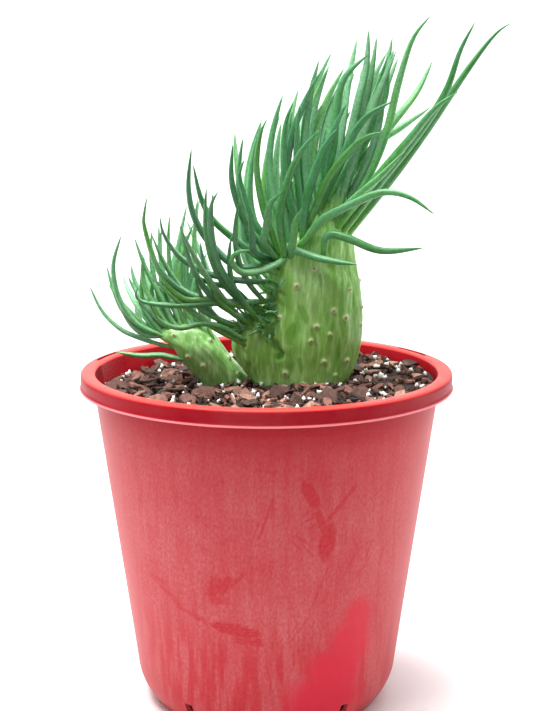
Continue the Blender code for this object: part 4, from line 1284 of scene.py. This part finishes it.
def leaves_mesh(name, paths, rng, hue):
    """All leaves of a crest. Those further back are given paler colours."""
    bm = bmesh.new()
    layers = [bm.verts.layers.float.new(key) for key in ("along", "lit_upper_side", "tint", "lime")]
    for points in paths:
        back = sum(point.y for point in points) / len(points)
        tint = min(1.0, max(0.0, 0.36 + 13 * back + hue + rng.gauss(0, 0.17)))
        lime = rng.random() ** 2.2
        leaf_skin(bm, layers, points, (tint, lime), leaf_radius(points[0]) * rng.uniform(0.92, 1.08))
    bmesh.ops.recalc_face_normals(bm, faces=bm.faces)
    mesh = bpy.data.meshes.new(name)
    bm.to_mesh(mesh)
    bm.free()
    mesh.shade_smooth()
    return mesh


def leaf_material(name):
    made, tree, shader = node_material(name)
    place = own_place(tree)
    along_leaf = attribute(tree, "along")
    tint = attribute(tree, "tint")
    lit_upper_side = attribute(tree, "lit_upper_side")
    wax = noise_at(tree, place, 70, 4, 0.6)
    veins = noise_at(tree, place, 620, 3, 0.5)
    fresh = ramp(
        tree,
        tint,
        (0.0, (0.022, 0.150, 0.055, 1)),
        (0.30, (0.060, 0.300, 0.080, 1)),
        (0.60, (0.190, 0.520, 0.240, 1)),
        (1.0, (0.420, 0.780, 0.540, 1)),
    )
    fresh = blend(tree, sums(tree, "MULTIPLY", attribute(tree, "lime"), 0.80), fresh, (0.150, 0.480, 0.025, 1))
    waxed = blend(tree, ramp(tree, wax, (0.42, 0.0), (0.66, 0.40)), fresh, (0.170, 0.420, 0.260, 1))
    # Painted light: the root end of each leaf is painted a saturated yellow-green, standing in for light shining
    # through where the leaves crowd
    tone = blend(tree, ramp(tree, along_leaf, (0.0, 0.75), (0.22, 0.0)), waxed, (0.200, 0.540, 0.050, 1))
    tone = blend(tree, ramp(tree, along_leaf, (0.62, 0.0), (0.97, 0.55)), tone, (0.030, 0.190, 0.060, 1))
    tone = blend(tree, ramp(tree, along_leaf, (0.985, 0.0), (0.998, 0.9)), tone, (0.20, 0.13, 0.06, 1))
    # Painted highlight: the upper side of each leaf is painted paler, as if lit from above
    tone = blend(tree, ramp(tree, lit_upper_side, (0.30, 0.0), (0.95, 0.42)), tone, (0.420, 0.720, 0.480, 1))
    tone = blend(tree, ramp(tree, veins, (0.35, 0.30), (0.6, 0.0)), tone, (0.012, 0.090, 0.022, 1))
    tree.links.new(tone, shader.inputs["Base Color"])
    shader.inputs["Roughness"].default_value = 0.38
    shader.inputs["Subsurface Weight"].default_value = 0.10
    shader.inputs["Subsurface Radius"].default_value = (0.3, 1.0, 0.2)
    shader.inputs["Subsurface Scale"].default_value = 0.003
    bump(tree, sums(tree, "ADD", veins, wax), 0.10, 0.0004, shader)
    return made


leaf_finish = leaf_material("waxy_leaf")
rng = random.Random(MAIN_SEED + 40)
main_leaves = new_piece(
    "main_crest_leaves", leaves_mesh("main_crest_leaves", main_leaf_paths(), rng, 0.0), leaf_finish, "plant"
)

# Buds in the crease
# Crested plants push out a crowd of stunted buds where the fan folds. They are the same flesh as the leaves,
# a few millimetres long, curled every way.
BUD_COUNT = 95
BUD_SEED = 8
BUD_LINE = ((0.0030, 0.2300), (-0.0030, 0.2230), (-0.0085, 0.2180), (-0.0150, 0.2120), (-0.0185, 0.2050))


def bud_paths(rng):
    """Short curled leaves standing off the fold and the lower lobe's upper edge."""
    tree = BVHTree.FromPolygons([v.co for v in main_skin.vertices], [p.vertices for p in main_skin.polygons])
    paths = []
    for _ in range(BUD_COUNT):
        if rng.random() < 0.35:
            at, line = rng.random() * 3.2, CREASE
        else:
            at, line = rng.random() * (len(BUD_LINE) - 1.001), BUD_LINE
        low, high = line[int(at)], line[int(at) + 1]
        mix = at - int(at)
        x = low[0] + (high[0] - low[0]) * mix + rng.gauss(0, 0.0016)
        z = low[1] + (high[1] - low[1]) * mix + rng.gauss(0, 0.0018)
        place, outward = tree.find_nearest(Vector((x, -0.016, z)))[:2]
        aim = (outward + Vector((rng.gauss(-0.4, 0.6), rng.gauss(-0.3, 0.4), rng.gauss(0.4, 0.6)))).normalized()
        length = rng.uniform(0.0022, 0.0085)
        curl = Vector((rng.gauss(-0.3, 0.7), rng.gauss(0, 0.5), rng.gauss(0.6, 0.6))) * length * 0.5
        bend = place + aim * length * 0.55
        paths.append([place - outward * 0.0012, bend, place + aim * length + curl])
    return paths


def buds_mesh(rng):
    bm = bmesh.new()
    layers = [bm.verts.layers.float.new(key) for key in ("along", "lit_upper_side", "tint", "lime")]
    for points in bud_paths(rng):
        tones = rng.uniform(0.0, 0.75), rng.random()
        leaf_skin(bm, layers, points, tones, BUD_RADIUS * rng.uniform(0.7, 1.6))
    bmesh.ops.recalc_face_normals(bm, faces=bm.faces)
    mesh = bpy.data.meshes.new("crease_buds")
    bm.to_mesh(mesh)
    bm.free()
    mesh.shade_smooth()
    return mesh


new_piece("crease_buds", buds_mesh(random.Random(BUD_SEED)), leaf_finish, "plant")

# Side crested stem
# A smaller fan that branches off low on the left and leans away from the main one. It is the same growth, with
# the same waxy ribbed skin, and stands in the mix on its own foot.
SIDE_LOBE = (
    (0.152, -0.034, -0.0125, 0.008, 0.0085),
    (0.175, -0.036, -0.0095, 0.008, 0.0100),
    (0.181, -0.042, -0.0135, 0.008, 0.0110),
    (0.188, -0.0475, -0.0195, 0.008, 0.0115),
    (0.194, -0.052, -0.0235, 0.008, 0.0110),
    (0.199, -0.060, -0.0270, 0.009, 0.0095),
    (0.203, -0.059, -0.0310, 0.009, 0.0070),
    (0.206, -0.052, -0.0370, 0.010, 0.0030),
)
SIDE_SCARS = ((-0.0300, 0.1980), (-0.0420, 0.1900), (-0.0200, 0.1880), (-0.0340, 0.1850), (-0.0500, 0.2010), (-0.0150, 0.1800))
side_skin = grown_together("side_crest_stem", (SIDE_LOBE,))
rng = random.Random(STEM_SEED + 1)
weather_skin(side_skin, scar_places(side_skin, SIDE_SCARS, 16, rng, 0.180, 0.200), -0.9)
new_piece(
    "side_crest_stem",
    side_skin,
    stem_material("side_stem_skin", (0.360, 0.640, 0.230, 1), (0.220, 0.480, 0.110, 1), (0.420, 0.680, 0.200, 1)),
    "plant",
    "side_crest",
)

# Side crest's leaves
# The same finger-like leaves along the side fan, with a few that hang or arch out over the rim.
SIDE_LEAVES = 20
SIDE_SEED = 4
SIDE_FAN = (
    ((-0.030, 0.202), 118, (-0.030, 0.274)),
    ((-0.037, 0.204), 126, (-0.044, 0.276)),
    ((-0.044, 0.204), 138, (-0.058, 0.268)),
    ((-0.051, 0.203), 150, (-0.070, 0.246)),
    ((-0.057, 0.201), 160, (-0.078, 0.232)),
    ((-0.060, 0.199), 172, (-0.080, 0.222)),
)
SIDE_LONG_LEAVES = {
    "side_low": (
        (-0.047, 0.008, 0.192), (-0.059, 0.008, 0.195), (-0.068, 0.008, 0.198), (-0.079, 0.008, 0.203),
        (-0.089, 0.008, 0.213), (-0.096, 0.008, 0.228),
    ),
    "side_arch": (
        (-0.054, 0.005, 0.199), (-0.058, 0.004, 0.201), (-0.070, 0.004, 0.207), (-0.079, 0.004, 0.220),
        (-0.082, 0.004, 0.238), (-0.077, 0.004, 0.256),
    ),
    "side_twin": (
        (-0.056, 0.009, 0.199), (-0.065, 0.010, 0.200), (-0.077, 0.011, 0.211), (-0.083, 0.012, 0.224),
        (-0.087, 0.014, 0.238),
    ),
    "side_dark": (
        (-0.050, 0.006, 0.204), (-0.057, 0.006, 0.221), (-0.065, 0.006, 0.237), (-0.071, 0.006, 0.254),
    ),
    "side_broad": (
        (-0.052, 0.005, 0.203), (-0.061, 0.003, 0.218), (-0.066, 0.003, 0.230), (-0.066, 0.002, 0.245),
    ),
    "side_short": (
        (-0.056, 0.009, 0.202), (-0.059, 0.009, 0.207), (-0.067, 0.009, 0.218), (-0.072, 0.010, 0.226),
        (-0.075, 0.010, 0.232),
    ),
    "side_short_twin": (
        (-0.054, 0.010, 0.204), (-0.058, 0.012, 0.209), (-0.065, 0.013, 0.218), (-0.071, 0.014, 0.227),
        (-0.074, 0.016, 0.238),
    ),
    "side_pale": (
        (-0.049, 0.010, 0.201), (-0.050, 0.013, 0.225), (-0.048, 0.016, 0.246), (-0.043, 0.020, 0.270),
    ),
    "side_pale_lean": (
        (-0.032, 0.013, 0.198), (-0.031, 0.017, 0.228), (-0.037, 0.021, 0.245), (-0.044, 0.026, 0.261),
    ),
    "side_olive": (
        (-0.042, 0.006, 0.203), (-0.043, 0.007, 0.224), (-0.043, 0.008, 0.243), (-0.043, 0.010, 0.255),
    ),
    "side_back_tall": (
        (-0.040, 0.010, 0.202), (-0.042, 0.013, 0.220), (-0.040, 0.017, 0.236), (-0.038, 0.023, 0.248),
    ),
    "side_mid": (
        (-0.045, 0.006, 0.202), (-0.053, 0.008, 0.224), (-0.057, 0.010, 0.241), (-0.058, 0.012, 0.260),
    ),
    "droop": (
        (-0.042, 0.004, 0.187), (-0.047, 0.001, 0.188), (-0.057, 0.001, 0.190), (-0.068, 0.000, 0.190),
        (-0.082, 0.000, 0.192),
    ),
}


def side_leaf_paths():
    """The side crest's leaves, all behind the plane in which the main crest's left leaves lie."""
    rng = random.Random(SIDE_SEED)
    paths = []
    for i in range(SIDE_LEAVES):
        place = (i + rng.random()) / SIDE_LEAVES
        depths = rng.uniform(0.004, 0.013), rng.uniform(0.003, 0.038)
        reach = 1.03 - 0.5 * rng.random() ** 1.6
        paths.append(crest_leaf(rng, SIDE_FAN, place, *depths, reach))
    for points in SIDE_LONG_LEAVES.values():
        paths.append(smooth_path([Vector(point) for point in points], LEAF_STEPS + 2))
    return paths


rng = random.Random(SIDE_SEED + 40)
new_piece("side_crest_leaves", leaves_mesh("side_crest_leaves", side_leaf_paths(), rng, 0.05), leaf_finish, "plant")

# Floor, lights and camera
# A plain white sweep, level under the pot and curving up behind it, lit softly from above and from the back as
# for a catalogue picture.
SWEEP_FRONT = -0.45
SWEEP_BACK = 1.0
SWEEP_RADIUS = 0.5
SWEEP_HEIGHT = 1.3
SWEEP_HALF_WIDTH = 1.4
sweep = [(SWEEP_FRONT, -0.0005), (SWEEP_BACK, -0.0005)]
for i in range(1, 13):
    turn = math.pi / 2 * i / 12
    sweep.append((SWEEP_BACK + SWEEP_RADIUS * math.sin(turn), SWEEP_RADIUS * (1 - math.cos(turn)) - 0.0005))
sweep.append((SWEEP_BACK + SWEEP_RADIUS, SWEEP_HEIGHT))
floor_mesh = bpy.data.meshes.new("floor")
floor_mesh.from_pydata(
    [(x, y, z) for y, z in sweep for x in (-SWEEP_HALF_WIDTH, SWEEP_HALF_WIDTH)],
    [],
    [(2 * i, 2 * i + 1, 2 * i + 3, 2 * i + 2) for i in range(len(sweep) - 1)],
)
floor_mesh.shade_smooth()
floor = bpy.data.objects.new("floor", floor_mesh)
bpy.context.scene.collection.objects.link(floor)
floor_paint, tree, shader = node_material("floor_paint")
grain = noise_at(tree, own_place(tree), 40, 3)
tree.links.new(ramp(tree, grain, (0.0, (0.93, 0.93, 0.93, 1)), (1.0, (0.96, 0.96, 0.96, 1))), shader.inputs["Base Color"])
shader.inputs["Roughness"].default_value = 0.9
floor_mesh.materials.append(floor_paint)


def softbox(name, place, aim, size, power):
    light = bpy.data.lights.new(name, "AREA")
    light.shape = "RECTANGLE"
    light.size, light.size_y = size
    light.energy = power
    box = bpy.data.objects.new(name, light)
    box.location = place
    box.rotation_euler = (Vector(aim) - Vector(place)).to_track_quat("-Z", "Y").to_euler()
    bpy.context.scene.collection.objects.link(box)
    return box


lights = [
    softbox("overhead", (-0.22, -0.10, 1.45), (0.0, 0.05, 0.0), (0.9, 0.9), 40),
    softbox("backdrop", (0.0, 0.55, 1.60), (0.0, 1.35, 0.2), (2.4, 0.5), 24),
    softbox("left", (-1.1, 0.20, 0.45), (0.0, 0.0, 0.15), (0.5, 1.0), 3.5),
    softbox("right", (1.1, 0.20, 0.45), (0.0, 0.0, 0.15), (0.5, 1.0), 5),
    softbox("front", (-0.2, -1.5, 0.70), (0.0, 0.0, 0.10), (1.0, 0.7), 4),
]
world = bpy.data.worlds.new("studio")
bpy.context.scene.world = world
world.use_nodes = True
world.node_tree.nodes["Background"].inputs["Color"].default_value = (1.0, 1.0, 1.0, 1)
world.node_tree.nodes["Background"].inputs["Strength"].default_value = 0.12
bpy.context.scene.view_settings.view_transform = "Standard"

camera_data = bpy.data.cameras.new("camera")
camera_data.lens = 76.62
camera_data.sensor_width = 36
camera = bpy.data.objects.new("camera", camera_data)
camera.location = (0.0, -0.8, 0.34884)
camera.rotation_euler = (math.pi / 2 - 0.196, 0, 0)
bpy.context.scene.collection.objects.link(camera)
bpy.context.scene.camera = camera
